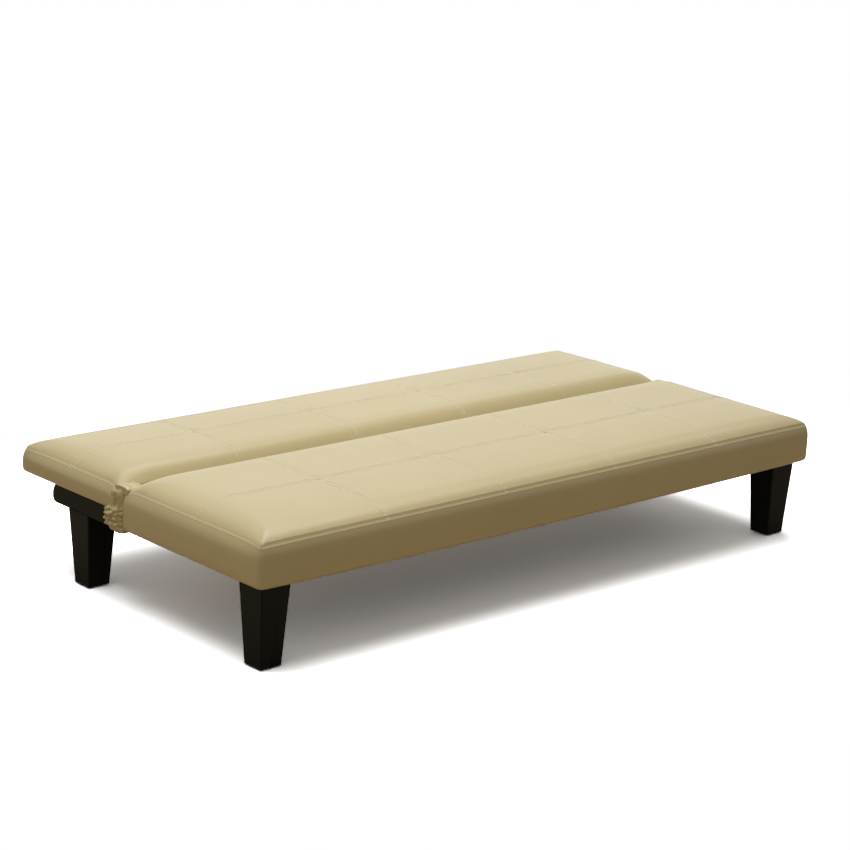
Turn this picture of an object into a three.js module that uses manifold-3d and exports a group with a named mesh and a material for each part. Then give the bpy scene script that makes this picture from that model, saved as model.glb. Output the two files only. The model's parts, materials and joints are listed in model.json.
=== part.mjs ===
// Click clack sofa bed, laid flat: two upholstered pads on a box frame, joined by ratchet hinges.
// Units are millimetres. X runs along the bed, the seat's front edge faces -Y and Z is up. The origin is on
// the floor under the middle of the bed.
import * as THREE from 'three';
import { mergeVertices } from 'three/addons/utils/BufferGeometryUtils.js';
import Module from 'manifold-3d';

const wasm = await Module();
wasm.setup();

// Overall sizes
const bedLength = 1680;
const seatDepth = 474;
const backDepth = 372;
const hingeGap = 18;
const pivotHeight = 262;
const crownRise = 34;
const foldAngle = THREE.MathUtils.degToRad(80);

// Heights counted up or down from the pivot, so that the legs alone follow a change of its height
const seamRise = 16;
const seatDrop = 76;
const backDrop = 40;
const seatRailDrop = 4;
const backRailDrop = 8;
const barDrop = 90;
const gatherRise = 12;
const gatherDrop = 83;
const stripRise = 2;

// Shape of the pads
const frontRoll = 130;
const rearRoll = 240;
const endRoll = 160;
const hingeRoll = 150;
const hingePowerShare = 4;
const grooveMargin = 6.5;
const endDrop = 12;
const endDropReach = 40;
const cornerDrop = 4;
const cornerReach = 180;
const panelPuff = 5;
const puffPowerShare = 6;
const panelCount = 5;
const channelHalfWidth = 14;
const tuftDepth = 7;
const tuftRadius = 28;
const sideDrawIn = 4;
const seatFrontCorner = 11;
const seatHingeCorner = 22;
const backRearCorner = 13;
const backHingeCorner = 40;
const endShares = [0, 0.03, 0.09, 0.22, 0.5, 1];
const outerShares = [0, 0.04, 0.12, 0.3, 0.6];
const hingeShares = [0, 0.05, 0.14, 0.3, 0.6];

// Covers, foam and linings
const coverThickness = 2.4;
const lipWidth = 30;
const softGap = 0.4;
const liningThickness = 1.2;

// Wooden frames
const boardThickness = 16;
const frameInset = 8;
const seatDeckThickness = 5;
const backDeckThickness = 4;
const slatWidth = 50;
const slatHeight = 18;
const slatSpan = 560;

// Bars that carry the back and the rear legs
const barWidth = 40;
const barFront = 150;
const barRear = 771;
const barCorner = 14;
const barTopCorner = 32;
const shoulderGap = 0.6;
const barBoltInset = 60;
const barBoltRadius = 3.5;
const barHeadRadius = 8;
const barHeadHeight = 3;

// Legs, glides and their bolts
const legTop = 76;
const legFoot = 55;
const legChamfer = 2;
const legInset = 23;
const rearLegCentre = 670;
const glideRadius = 20;
const glideHeight = 3;
const glidePinRadius = 2;
const glidePinLength = 12;
const legBoltRadius = 4;
const legBoltDepth = 42;
const washerRadius = 10;
const washerThickness = 2;
const nutRadius = 7.5;
const nutHeight = 6.5;
const blockSide = 72;
const blockHeight = 30;

// Ratchet hinges: plates, pin, toothed disc, pawl and leaf spring
const plateThickness = 3;
const discThickness = 5;
const cheekThickness = 2.5;
const plateGap = 0.4;
const pinRadius = 6;
const pinHeadRadius = 9;
const pinHeadHeight = 2.5;
const seatPlateEye = 15;
const backPlateEye = 16;
const plateArm = 145;
const plateEnd = 12;
const plateDrop = 22;
const jogStart = 36;
const jogEnd = 52;
const screwRadius = 6;
const screwHead = 2.2;
const screwPitch = 32;
const screwCount = 3;
const toothTip = 26;
const toothRoot = 21.5;
const toothPitch = THREE.MathUtils.degToRad(12);
const toothCount = 4;
const lastCatch = THREE.MathUtils.degToRad(72);
const releaseStart = THREE.MathUtils.degToRad(150);
const releaseEnd = THREE.MathUtils.degToRad(160);
const pawlDistance = 36;
const pawlAngle = THREE.MathUtils.degToRad(205);
const noseAngle = THREE.MathUtils.degToRad(250);
const noseLead = THREE.MathUtils.degToRad(2);
const faceLead = THREE.MathUtils.degToRad(3);
const pawlThrow = THREE.MathUtils.degToRad(12);
const pawlHub = 7.5;
const pawlFlat = 6.9;
const pawlHole = 3.3;
const pawlStud = 3;
const cheekEye = 14;
const cheekEnd = 8;
const springThickness = 1.2;
const springWidth = 3.4;
const springReach = 44;
const springTip = 6;
const springFoot = 8;
const pocketRadius = 30;
const pocketEnd = 16;
const pocketWidth = 20;

// Gathered fabric and the joining strip at the hinge
const gatherDepth = 20;
const gatherFront = 2.2;
const gatherReach = 66;
const pleatCount = 6;
const pleatDepth = 2.6;
const gatherTuck = 2;
const hoodThickness = 2.4;
const hoodRise = 6;
const hoodReach = 22;
const hoodGap = 0.8;
const stripThickness = 1.2;
const stripInset = 48;

// Clearances between pieces that touch
const seatGap = 0.3;
const runGap = 0.4;
const overrun = 5;

// Places worked out from the sizes
const halfLength = bedLength / 2;
const bedDepth = seatDepth + hingeGap + backDepth;
const frontEdge = -bedDepth / 2;
const rearEdge = bedDepth / 2;
const pivotY = frontEdge + seatDepth + hingeGap / 2;
const seatHingeEdge = frontEdge + seatDepth;
const seamHeight = pivotHeight + seamRise;
const seatBottom = pivotHeight - seatDrop;
const backBottom = pivotHeight - backDrop;
const seatRailTop = pivotHeight - seatRailDrop;
const backRailTop = pivotHeight - backRailDrop;
const barBottom = pivotHeight - barDrop;
const gatherTop = pivotHeight + gatherRise;
const gatherFloor = pivotHeight - gatherDrop;
const stripTop = pivotHeight + stripRise;
const hingeSeam = pivotHeight + hingeGap / 2 / Math.tan(foldAngle / 2) - grooveMargin;
const hingeDrop = seamHeight - hingeSeam;
const panelWidth = bedLength / panelCount;
const barTop = backBottom - seatGap;
const barNear = frameInset + boardThickness + seatGap;
const seatRailBottom = seatBottom + coverThickness + seatGap;
const backRailBottom = backBottom + coverThickness + seatGap;
const seatDeckBottom = seatRailTop + seatGap;
const backDeckBottom = backRailTop + seatGap;
const pocketNear = frameInset + boardThickness + seatGap / 2;
const seatPlateNear = barNear;
const discNear = seatPlateNear + plateThickness + plateGap;
const backPlateNear = discNear + discThickness + plateGap;
const cheekNear = backPlateNear + plateThickness + plateGap;
const pawlY = pawlDistance * Math.cos(pawlAngle);
const pawlZ = pawlDistance * Math.sin(pawlAngle);

const seatPad = {
  outer: frontEdge,
  outerRoll: frontRoll,
  toHinge: 1,
  depth: seatDepth,
  bottom: seatBottom,
  outerCorner: seatFrontCorner,
  hingeCorner: seatHingeCorner,
  deckTop: seatDeckBottom + seatDeckThickness,
};
const backPad = {
  outer: rearEdge,
  outerRoll: rearRoll,
  toHinge: -1,
  depth: backDepth,
  bottom: backBottom,
  outerCorner: backRearCorner,
  hingeCorner: backHingeCorner,
  deckTop: backDeckBottom + backDeckThickness,
};

const leather = new THREE.MeshStandardMaterial({ color: 0xd3c6a4, roughness: 0.55, metalness: 0 });
const foam = new THREE.MeshStandardMaterial({ color: 0xe6d9a8, roughness: 0.95, metalness: 0 });
const cloth = new THREE.MeshStandardMaterial({ color: 0x26262a, roughness: 0.95, metalness: 0 });
const timber = new THREE.MeshStandardMaterial({ color: 0xb98d5c, roughness: 0.75, metalness: 0 });
const blackWood = new THREE.MeshStandardMaterial({ color: 0x12120f, roughness: 0.4, metalness: 0 });
const steel = new THREE.MeshStandardMaterial({ color: 0x9a9c9f, roughness: 0.4, metalness: 1 });
const springSteel = new THREE.MeshStandardMaterial({ color: 0x55585e, roughness: 0.35, metalness: 1 });
const plastic = new THREE.MeshStandardMaterial({ color: 0x1c1c1c, roughness: 0.5, metalness: 0 });

const bed = new THREE.Group();
const seat = new THREE.Group();
const back = new THREE.Group();
bed.add(seat, back);

// Solids and how they are joined, cut and placed

function solidOf(geometry) {
  const bare = geometry.clone();
  bare.deleteAttribute('normal');
  bare.deleteAttribute('uv');
  const merged = mergeVertices(bare);
  const mesh = new wasm.Mesh({
    numProp: 3,
    vertProperties: new Float32Array(merged.attributes.position.array),
    triVerts: new Uint32Array(merged.index.array),
  });
  return new wasm.Manifold(mesh);
}

function geometryOf(solid) {
  const mesh = solid.getMesh();
  const geometry = new THREE.BufferGeometry();
  geometry.setAttribute('position', new THREE.BufferAttribute(new Float32Array(mesh.vertProperties), 3));
  geometry.setIndex(new THREE.BufferAttribute(new Uint32Array(mesh.triVerts), 1));
  geometry.computeVertexNormals();
  return geometry;
}

function place(group, name, shape, material) {
  const geometry = shape.isBufferGeometry ? shape : geometryOf(shape);
  const mesh = new THREE.Mesh(geometry, material);
  mesh.name = name;
  group.add(mesh);
}

function board(x0, x1, y0, y1, z0, z1) {
  const box = new THREE.BoxGeometry(x1 - x0, y1 - y0, z1 - z0);
  return box.translate((x0 + x1) / 2, (y0 + y1) / 2, (z0 + z1) / 2);
}

// A prism of a plan outline, standing between two heights
function standing(outline, z0, z1, curveSegments = 4) {
  const prism = new THREE.ExtrudeGeometry(outline, { depth: z1 - z0, bevelEnabled: false, curveSegments });
  return prism.translate(0, 0, z0);
}

// A prism of an outline drawn in Y and Z, lying along the bed between two distances from one end
const acrossBed = new THREE.Matrix4().makeBasis(
  new THREE.Vector3(0, 1, 0),
  new THREE.Vector3(0, 0, 1),
  new THREE.Vector3(1, 0, 0),
);
function lying(outline, side, near, far, curveSegments = 6) {
  const prism = new THREE.ExtrudeGeometry(outline, { depth: far - near, bevelEnabled: false, curveSegments });
  const start = side > 0 ? halfLength - far : near - halfLength;
  return prism.applyMatrix4(acrossBed).translate(start, 0, 0);
}

// A board between two distances from one end
function endBoard(side, near, far, y0, y1, z0, z1) {
  const a = side * (halfLength - near);
  const b = side * (halfLength - far);
  return board(Math.min(a, b), Math.max(a, b), y0, y1, z0, z1);
}

// A round peg that stands up, or lies along the bed from one end's side
function uprightPeg(x, y, z0, z1, radius, sides = 12) {
  const peg = new THREE.CylinderGeometry(radius, radius, z1 - z0, sides);
  return peg.rotateX(Math.PI / 2).translate(x, y, (z0 + z1) / 2);
}
function lyingPeg(side, near, far, y, z, radius, sides = 12) {
  const peg = new THREE.CylinderGeometry(radius, radius, far - near, sides);
  const x = side * (halfLength - (near + far) / 2);
  return peg.rotateZ(Math.PI / 2).translate(x, y, z);
}

// A closed skin over rings that have the same number of points, each ring running counter-clockwise
// about the way that the rings climb
function loft(rings) {
  const size = rings[0].length;
  const points = rings.flat();
  const faces = [];
  for (let row = 0; row + 1 < rings.length; row += 1) {
    for (let k = 0; k < size; k += 1) {
      const next = (k + 1) % size;
      const low = row * size;
      const high = low + size;
      faces.push(low + k, low + next, high + next, low + k, high + next, high + k);
    }
  }
  const centre = (ring) => {
    const sum = ring.reduce((total, p) => total.add(p), new THREE.Vector3());
    return sum.divideScalar(size);
  };
  const lowest = points.push(centre(rings[0])) - 1;
  const highest = points.push(centre(rings[rings.length - 1])) - 1;
  const last = (rings.length - 1) * size;
  for (let k = 0; k < size; k += 1) {
    const next = (k + 1) % size;
    faces.push(lowest, next, k, highest, last + k, last + next);
  }
  const geometry = new THREE.BufferGeometry().setFromPoints(points);
  geometry.setIndex(faces);
  geometry.computeVertexNormals();
  return geometry;
}

// The outline of a flat link: two round ends joined by their outer tangents
function linkOutline(y, z, radius, endY, endZ, endRadius, holes = []) {
  const along = Math.atan2(endZ - z, endY - y);
  const lean = Math.acos((radius - endRadius) / Math.hypot(endY - y, endZ - z));
  const outline = new THREE.Shape();
  outline.absarc(y, z, radius, along + lean, along - lean + 2 * Math.PI, false);
  outline.absarc(endY, endZ, endRadius, along - lean, along + lean, false);
  outline.closePath();
  for (const hole of holes) {
    const ring = new THREE.Path();
    ring.absarc(hole.y, hole.z, hole.radius, 0, 2 * Math.PI, true);
    outline.holes.push(ring);
  }
  return outline;
}

// Pads: how high the top stands, and the form that the cover and the foam share

function rise(distance, roll, power) {
  return 1 - Math.pow(1 - Math.min(distance / roll, 1), power);
}

// The height share of a soft edge, which stands upright at the seam and levels out over its roll
function swell(distance, roll) {
  return Math.sqrt(1 - Math.pow(1 - Math.min(distance / roll, 1), 2));
}

function fade(distance, reach) {
  return Math.pow(1 - Math.min(distance / reach, 1), 2);
}

function puffAt(x) {
  const along = (x + halfLength) / panelWidth;
  const fromMiddle = Math.abs(2 * (along - Math.floor(along)) - 1);
  return 1 - Math.pow(fromMiddle, puffPowerShare);
}

function tuftAt(pad, x, outerDistance) {
  const along = (x + halfLength) / panelWidth;
  const seam = Math.round(along);
  if (seam < 1 || seam >= panelCount) return 0;
  const away = Math.hypot((along - seam) * panelWidth, outerDistance - pad.depth / 2);
  return Math.exp(-Math.pow(away / tuftRadius, 2));
}

function topHeight(pad, x, outerDistance) {
  const endDistance = halfLength - Math.abs(x);
  const hingeDistance = pad.depth - outerDistance;
  const fromHinge = rise(hingeDistance, hingeRoll, hingePowerShare);
  const crown = swell(endDistance, endRoll) * swell(outerDistance, pad.outerRoll) * fromHinge;
  const endLoss = endDrop * fade(endDistance, endDropReach);
  const hingeLoss = hingeDrop * (1 - fromHinge);
  return seamHeight
    + crown * (crownRise + panelPuff * puffAt(x))
    - cornerDrop * fade(endDistance, cornerReach) * fade(outerDistance, cornerReach)
    - endLoss - hingeLoss + endLoss * hingeLoss / Math.max(endDrop, hingeDrop)
    - tuftDepth * tuftAt(pad, x, outerDistance);
}

function lengthStations() {
  const half = endShares.map((share) => halfLength - share * endRoll);
  half.push(halfLength - (endRoll + panelWidth - channelHalfWidth) / 2);
  for (let seam = panelCount - 1; seam > panelCount / 2; seam -= 1) {
    const x = seam * panelWidth - halfLength;
    half.push(x + channelHalfWidth, x, x - channelHalfWidth, x - panelWidth / 2);
  }
  const near = half.filter((x) => x > 0);
  return [...near.map((x) => -x), 0, ...near.reverse()];
}

function depthStations(pad) {
  const middle = pad.depth / 2;
  const stations = outerShares.map((share) => share * pad.outerRoll);
  stations.push(middle - tuftRadius, middle, middle + tuftRadius);
  stations.push(...hingeShares.map((share) => pad.depth - share * hingeRoll).reverse());
  const ys = stations.map((distance) => pad.outer + pad.toHinge * distance);
  return ys.sort((a, b) => a - b);
}

// Rounds the pad's plan corners by turning each corner square of the grid into a quarter disc
function roundCorner(endDistance, sideDistance, radius) {
  if (endDistance >= radius || sideDistance >= radius) return [endDistance, sideDistance];
  const a = 1 - endDistance / radius;
  const b = 1 - sideDistance / radius;
  const rounded = [a * Math.sqrt(1 - b * b / 2), b * Math.sqrt(1 - a * a / 2)];
  return rounded.map((value) => radius * (1 - value));
}

function planPoint(pad, x, y) {
  const outerDistance = (y - pad.outer) * pad.toHinge;
  const hingeDistance = pad.depth - outerDistance;
  const nearOuter = outerDistance < hingeDistance;
  const radius = nearOuter ? pad.outerCorner : pad.hingeCorner;
  const sideDistance = Math.min(outerDistance, hingeDistance);
  const [end, edge] = roundCorner(halfLength - Math.abs(x), sideDistance, radius);
  const outward = nearOuter ? edge : pad.depth - edge;
  return [Math.sign(x) * (halfLength - end), pad.outer + pad.toHinge * outward];
}

function drawnIn(pad, x, y, inset) {
  const middle = pad.outer + pad.toHinge * pad.depth / 2;
  return [x * (1 - inset / halfLength), middle + (y - middle) * (1 - 2 * inset / pad.depth)];
}

// The pad's whole form, pulled in by an inset all round and standing on its own underside
function padForm(pad, inset, underside, rows) {
  const xs = lengthStations();
  const ys = depthStations(pad);
  const points = [];
  const faces = [];
  const at = (i, j) => i * ys.length + j;
  for (const x of xs) {
    for (const y of ys) {
      const [px, py] = drawnIn(pad, ...planPoint(pad, x, y), inset);
      const height = topHeight(pad, x, (y - pad.outer) * pad.toHinge);
      points.push(new THREE.Vector3(px, py, height - inset));
    }
  }
  const lastX = xs.length - 1;
  const lastY = ys.length - 1;
  for (let i = 0; i < lastX; i += 1) {
    for (let j = 0; j < lastY; j += 1) {
      faces.push(at(i, j), at(i + 1, j), at(i + 1, j + 1), at(i, j), at(i + 1, j + 1), at(i, j + 1));
    }
  }
  const border = [];
  for (let i = 0; i < lastX; i += 1) border.push([i, 0]);
  for (let j = 0; j < lastY; j += 1) border.push([lastX, j]);
  for (let i = lastX; i > 0; i -= 1) border.push([i, lastY]);
  for (let j = lastY; j > 0; j -= 1) border.push([0, j]);
  let upper = border.map(([i, j]) => at(i, j));
  for (let row = 1; row <= rows; row += 1) {
    const lower = border.map(([i, j]) => {
      const outerDistance = (ys[j] - pad.outer) * pad.toHinge;
      const sideDistance = Math.min(outerDistance, pad.depth - outerDistance);
      const top = topHeight(pad, xs[i], outerDistance);
      const z = THREE.MathUtils.lerp(top - inset, underside, row / rows);
      const down = (top - z) / (top - pad.bottom);
      const fromCorner = Math.max(halfLength - Math.abs(xs[i]), sideDistance);
      const pull = sideDrawIn * Math.sin(Math.PI * down) * (1 - fade(fromCorner, cornerReach));
      const [px, py] = drawnIn(pad, ...planPoint(pad, xs[i], ys[j]), inset + pull);
      return points.push(new THREE.Vector3(px, py, z)) - 1;
    });
    for (let k = 0; k < border.length; k += 1) {
      const next = (k + 1) % border.length;
      faces.push(lower[k], lower[next], upper[next], lower[k], upper[next], upper[k]);
    }
    upper = lower;
  }
  const hub = points.push(new THREE.Vector3(0, pad.outer + pad.toHinge * pad.depth / 2, underside)) - 1;
  upper.forEach((corner, k) => faces.push(hub, upper[(k + 1) % upper.length], corner));
  const geometry = new THREE.BufferGeometry().setFromPoints(points);
  geometry.setIndex(faces);
  return geometry;
}

// The pad's plan as an outline, pulled in by an inset
function planOutline(pad, inset) {
  const x = halfLength - inset;
  const outer = pad.outer + pad.toHinge * inset;
  const hinge = pad.outer + pad.toHinge * (pad.depth - inset);
  const outerRadius = Math.max(pad.outerCorner - inset, coverThickness);
  const hingeRadius = Math.max(pad.hingeCorner - inset, coverThickness);
  const frontRadius = pad.toHinge > 0 ? outerRadius : hingeRadius;
  const rearRadius = pad.toHinge > 0 ? hingeRadius : outerRadius;
  const front = Math.min(outer, hinge);
  const rear = Math.max(outer, hinge);
  const quarter = Math.PI / 2;
  const outline = new THREE.Shape();
  outline.absarc(x - frontRadius, front + frontRadius, frontRadius, -quarter, 0, false);
  outline.absarc(x - rearRadius, rear - rearRadius, rearRadius, 0, quarter, false);
  outline.absarc(rearRadius - x, rear - rearRadius, rearRadius, quarter, 2 * quarter, false);
  outline.absarc(frontRadius - x, front + frontRadius, frontRadius, 2 * quarter, 3 * quarter, false);
  outline.closePath();
  return outline;
}

// The pockets at the pads' ends that hold a hinge, and the tunnels that hold the bars

function hingePocket(side, toSeat) {
  const [near, far] = [pocketNear, pocketNear + pocketWidth];
  const endY = pivotY - toSeat * plateArm;
  const endZ = pivotHeight - plateDrop;
  const outline = linkOutline(pivotY, pivotHeight, pocketRadius, endY, endZ, pocketEnd);
  const pocket = solidOf(lying(outline, side, near, far));
  const [y0, y1] = toSeat > 0 ? [pivotY - pawlDistance, pivotY] : [pivotY, pivotY + jogStart];
  return pocket.add(solidOf(endBoard(side, near, far, y0, y1, barTop, pivotHeight)));
}

function barTunnel(side) {
  const near = barNear - seatGap;
  const far = barNear + barWidth + seatGap;
  const y0 = frontEdge + barFront - seatGap;
  return solidOf(endBoard(side, near, far, y0, pivotY, seatRailBottom - seatGap / 2, barTop + seatGap));
}

function cutAtEnds(solid, toSeat) {
  let left = solid;
  for (const side of [-1, 1]) {
    left = left.subtract(hingePocket(side, toSeat));
  }
  return left;
}

function cutForBars(solid) {
  let left = solid;
  for (const side of [-1, 1]) {
    left = left.subtract(barTunnel(side));
  }
  return left;
}

// The cover is a sewn box of leathercloth that turns in under the frame, where a lining closes it
function coverOf(pad, toSeat) {
  const shell = solidOf(padForm(pad, 0, pad.bottom, 4));
  const inside = solidOf(padForm(pad, coverThickness, pad.bottom + coverThickness, 2));
  const mouth = standing(planOutline(pad, lipWidth), pad.bottom - overrun, pad.bottom + overrun);
  return cutAtEnds(shell.subtract(inside).subtract(solidOf(mouth)), toSeat);
}

function foamOf(pad, toSeat) {
  const block = solidOf(padForm(pad, coverThickness + softGap, pad.deckTop + seatGap, 1));
  return cutAtEnds(block, toSeat);
}

function deckOf(pad, toSeat) {
  const thickness = toSeat > 0 ? seatDeckThickness : backDeckThickness;
  const sheet = standing(planOutline(pad, frameInset), pad.deckTop - thickness, pad.deckTop);
  return cutAtEnds(solidOf(sheet), toSeat);
}

function liningOf(pad) {
  const z = pad.bottom + seatGap;
  return solidOf(standing(planOutline(pad, lipWidth + seatGap), z, z + liningThickness));
}

function dustCloth() {
  let sheet = cutForBars(liningOf(seatPad));
  const inset = legInset + legTop / 2;
  for (const side of [-1, 1]) {
    const x = side * (halfLength - inset);
    const [z0, z1] = [seatBottom - overrun, seatBottom + overrun];
    const hole = uprightPeg(x, frontEdge + inset, z0, z1, washerRadius);
    sheet = sheet.subtract(solidOf(hole));
  }
  return sheet;
}

// Wooden frames: the rails follow the pad's rounded plan
function rail(pad, x0, x1, y0, y1, z0, z1) {
  const plan = standing(planOutline(pad, frameInset), z0 - overrun, z1 + overrun);
  return solidOf(board(x0, x1, y0, y1, z0, z1)).intersect(solidOf(plan));
}

function sideRail(pad, side, z0, z1) {
  const outer = halfLength - frameInset;
  const inner = outer - boardThickness;
  const near = pad.outer + pad.toHinge * (frameInset + boardThickness + seatGap);
  const far = pad.outer + pad.toHinge * (pad.depth - frameInset);
  const xs = [side * inner, side * outer].sort((a, b) => a - b);
  return rail(pad, ...xs, Math.min(near, far), Math.max(near, far), z0, z1);
}

function outerRail(pad, z0, z1) {
  const outer = halfLength - frameInset;
  const ys = [frameInset, frameInset + boardThickness].map((d) => pad.outer + pad.toHinge * d);
  return rail(pad, -outer, outer, Math.min(...ys), Math.max(...ys), z0, z1);
}

function hingeRail(pad, end, z0, z1) {
  const half = halfLength - end;
  const ys = [frameInset, frameInset + boardThickness].map((d) => {
    return pad.outer + pad.toHinge * (pad.depth - d);
  });
  return board(-half, half, Math.min(...ys), Math.max(...ys), z0, z1);
}

function slat(pad, x, top) {
  const inset = frameInset + boardThickness + seatGap;
  const ys = [inset, pad.depth - inset].map((d) => pad.outer + pad.toHinge * d);
  return board(x - slatWidth / 2, x + slatWidth / 2, Math.min(...ys), Math.max(...ys), top - slatHeight, top);
}

// Legs: a square that tapers to the foot, with its edges taken off
function squareRing(x, y, z, size) {
  const half = size / 2;
  const flat = half - legChamfer;
  const corners = [[1, 1], [-1, 1], [-1, -1], [1, -1]];
  return corners.flatMap(([sx, sy]) => {
    const first = new THREE.Vector3(x + sx * half, y + sy * flat, z);
    const second = new THREE.Vector3(x + sx * flat, y + sy * half, z);
    return sx * sy > 0 ? [first, second] : [second, first];
  });
}

function leg(x, y, top) {
  const foot = glideHeight + seatGap;
  const post = solidOf(loft([squareRing(x, y, foot, legFoot), squareRing(x, y, top, legTop)]));
  const boltHole = uprightPeg(x, y, top - legBoltDepth - seatGap, top + overrun, legBoltRadius + runGap);
  const pinTop = foot + glidePinLength;
  const pinHole = uprightPeg(x, y, foot - overrun, pinTop, glidePinRadius + runGap);
  return post.subtract(solidOf(boltHole)).subtract(solidOf(pinHole));
}

function glide(x, y) {
  const disc = solidOf(uprightPeg(x, y, 0, glideHeight, glideRadius, 24));
  const pinTop = glideHeight + glidePinLength - runGap;
  return disc.add(solidOf(uprightPeg(x, y, glideHeight / 2, pinTop, glidePinRadius, 8)));
}

function legBolt(x, y, legTopZ, seatZ) {
  const shank = solidOf(uprightPeg(x, y, legTopZ - legBoltDepth, seatZ + washerThickness, legBoltRadius));
  const washer = solidOf(uprightPeg(x, y, seatZ, seatZ + washerThickness, washerRadius, 16));
  const nut = solidOf(uprightPeg(x, y, seatZ + washerThickness / 2, seatZ + nutHeight, nutRadius, 6));
  return shank.add(washer).add(nut);
}

// The bar keeps inside the seat as far as the hinge, drops below it behind the seat to take the rear leg,
// and is rounded where its end shows behind that leg
function bar(side, boltYs, legY) {
  const y0 = frontEdge + barFront;
  const y1 = frontEdge + barRear;
  const outline = new THREE.Shape();
  const shoulder = seatHingeEdge + shoulderGap;
  outline.moveTo(y0, seatRailBottom);
  outline.lineTo(shoulder, seatRailBottom);
  outline.lineTo(shoulder + seatRailBottom - barBottom, barBottom);
  outline.lineTo(y1 - barCorner, barBottom);
  outline.absarc(y1 - barCorner, barBottom + barCorner, barCorner, -Math.PI / 2, 0, false);
  outline.absarc(y1 - barTopCorner, barTop - barTopCorner, barTopCorner, 0, Math.PI / 2, false);
  outline.lineTo(y0, barTop);
  outline.closePath();
  let solid = solidOf(lying(outline, side, barNear, barNear + barWidth));
  for (const y of boltYs) {
    const far = barNear + barWidth + overrun;
    const hole = lyingPeg(side, barNear - overrun, far, y, barBoltHeight, barBoltRadius + runGap);
    solid = solid.subtract(solidOf(hole));
  }
  const x = side * (halfLength - legInset - legTop / 2);
  const hole = uprightPeg(x, legY, barBottom - overrun, barTop + overrun, legBoltRadius + runGap);
  const recess = uprightPeg(x, legY, nutSeat, barTop + overrun, washerRadius + runGap, 16);
  return solid.subtract(solidOf(hole)).subtract(solidOf(recess));
}

// A coach bolt through the side rail and the bar, its head let into the rail's outer face
function barBolt(side, y) {
  const head = frameInset + seatGap;
  const nutNear = barNear + barWidth + seatGap;
  const shank = lyingPeg(side, head, nutNear + washerThickness, y, barBoltHeight, barBoltRadius);
  const cap = lyingPeg(side, head, head + barHeadHeight, y, barBoltHeight, barHeadRadius, 16);
  const washer = lyingPeg(side, nutNear, nutNear + washerThickness, y, barBoltHeight, washerRadius, 16);
  const nutFar = nutNear + nutHeight;
  const nut = lyingPeg(side, nutNear + washerThickness / 2, nutFar, y, barBoltHeight, nutRadius, 6);
  return [cap, washer, nut].reduce((sum, piece) => sum.add(solidOf(piece)), solidOf(shank));
}

function boredSideRail(side, boltYs) {
  let solid = sideRail(seatPad, side, seatRailBottom, seatRailTop);
  for (const y of boltYs) {
    const far = barNear + overrun;
    const hole = lyingPeg(side, frameInset - overrun, far, y, barBoltHeight, barBoltRadius + runGap);
    const sinkFar = frameInset + 2 * seatGap + barHeadHeight;
    const sink = lyingPeg(side, frameInset - overrun, sinkFar, y, barBoltHeight, barHeadRadius + runGap, 16);
    solid = solid.subtract(solidOf(hole)).subtract(solidOf(sink));
  }
  return solid;
}

function cornerBlock(side, legX, legY) {
  const near = frameInset + boardThickness + seatGap;
  const y0 = frontEdge + near;
  const x0 = halfLength - near;
  const cut = blockSide / 3;
  const outline = new THREE.Shape();
  outline.moveTo(side * x0, y0);
  outline.lineTo(side * x0, y0 + blockSide);
  outline.lineTo(side * (x0 - blockSide + cut), y0 + blockSide);
  outline.lineTo(side * (x0 - blockSide), y0 + blockSide - cut);
  outline.lineTo(side * (x0 - blockSide), y0);
  outline.closePath();
  const block = solidOf(standing(outline, seatRailBottom, seatRailBottom + blockHeight));
  const top = seatRailBottom + blockHeight + overrun;
  const hole = uprightPeg(legX, legY, seatRailBottom - overrun, top, legBoltRadius + runGap);
  return block.subtract(solidOf(hole));
}

// Hinges, from the wooden rail inwards: seat plate, toothed disc and pawl, back plate, cheek

function screwHeads(side, near, toSeat) {
  const heads = [];
  for (let k = 0; k < screwCount; k += 1) {
    const along = plateArm - k * screwPitch;
    const y = pivotY - toSeat * along;
    const z = pivotHeight - plateDrop * along / plateArm;
    const face = near + plateThickness;
    heads.push(solidOf(lyingPeg(side, face - plateThickness / 2, face + screwHead, y, z, screwRadius, 10)));
  }
  return heads;
}

function seatPlate(side) {
  const holes = [
    { y: pivotY, z: pivotHeight, radius: pinRadius + runGap },
    { y: pivotY + pawlY, z: pivotHeight + pawlZ, radius: pawlStud + runGap },
  ];
  const endY = pivotY - plateArm;
  const endZ = pivotHeight - plateDrop;
  const outline = linkOutline(pivotY, pivotHeight, seatPlateEye, endY, endZ, plateEnd, holes);
  const plate = solidOf(lying(outline, side, seatPlateNear, seatPlateNear + plateThickness));
  return screwHeads(side, seatPlateNear, 1).reduce((sum, head) => sum.add(head), plate);
}

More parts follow.
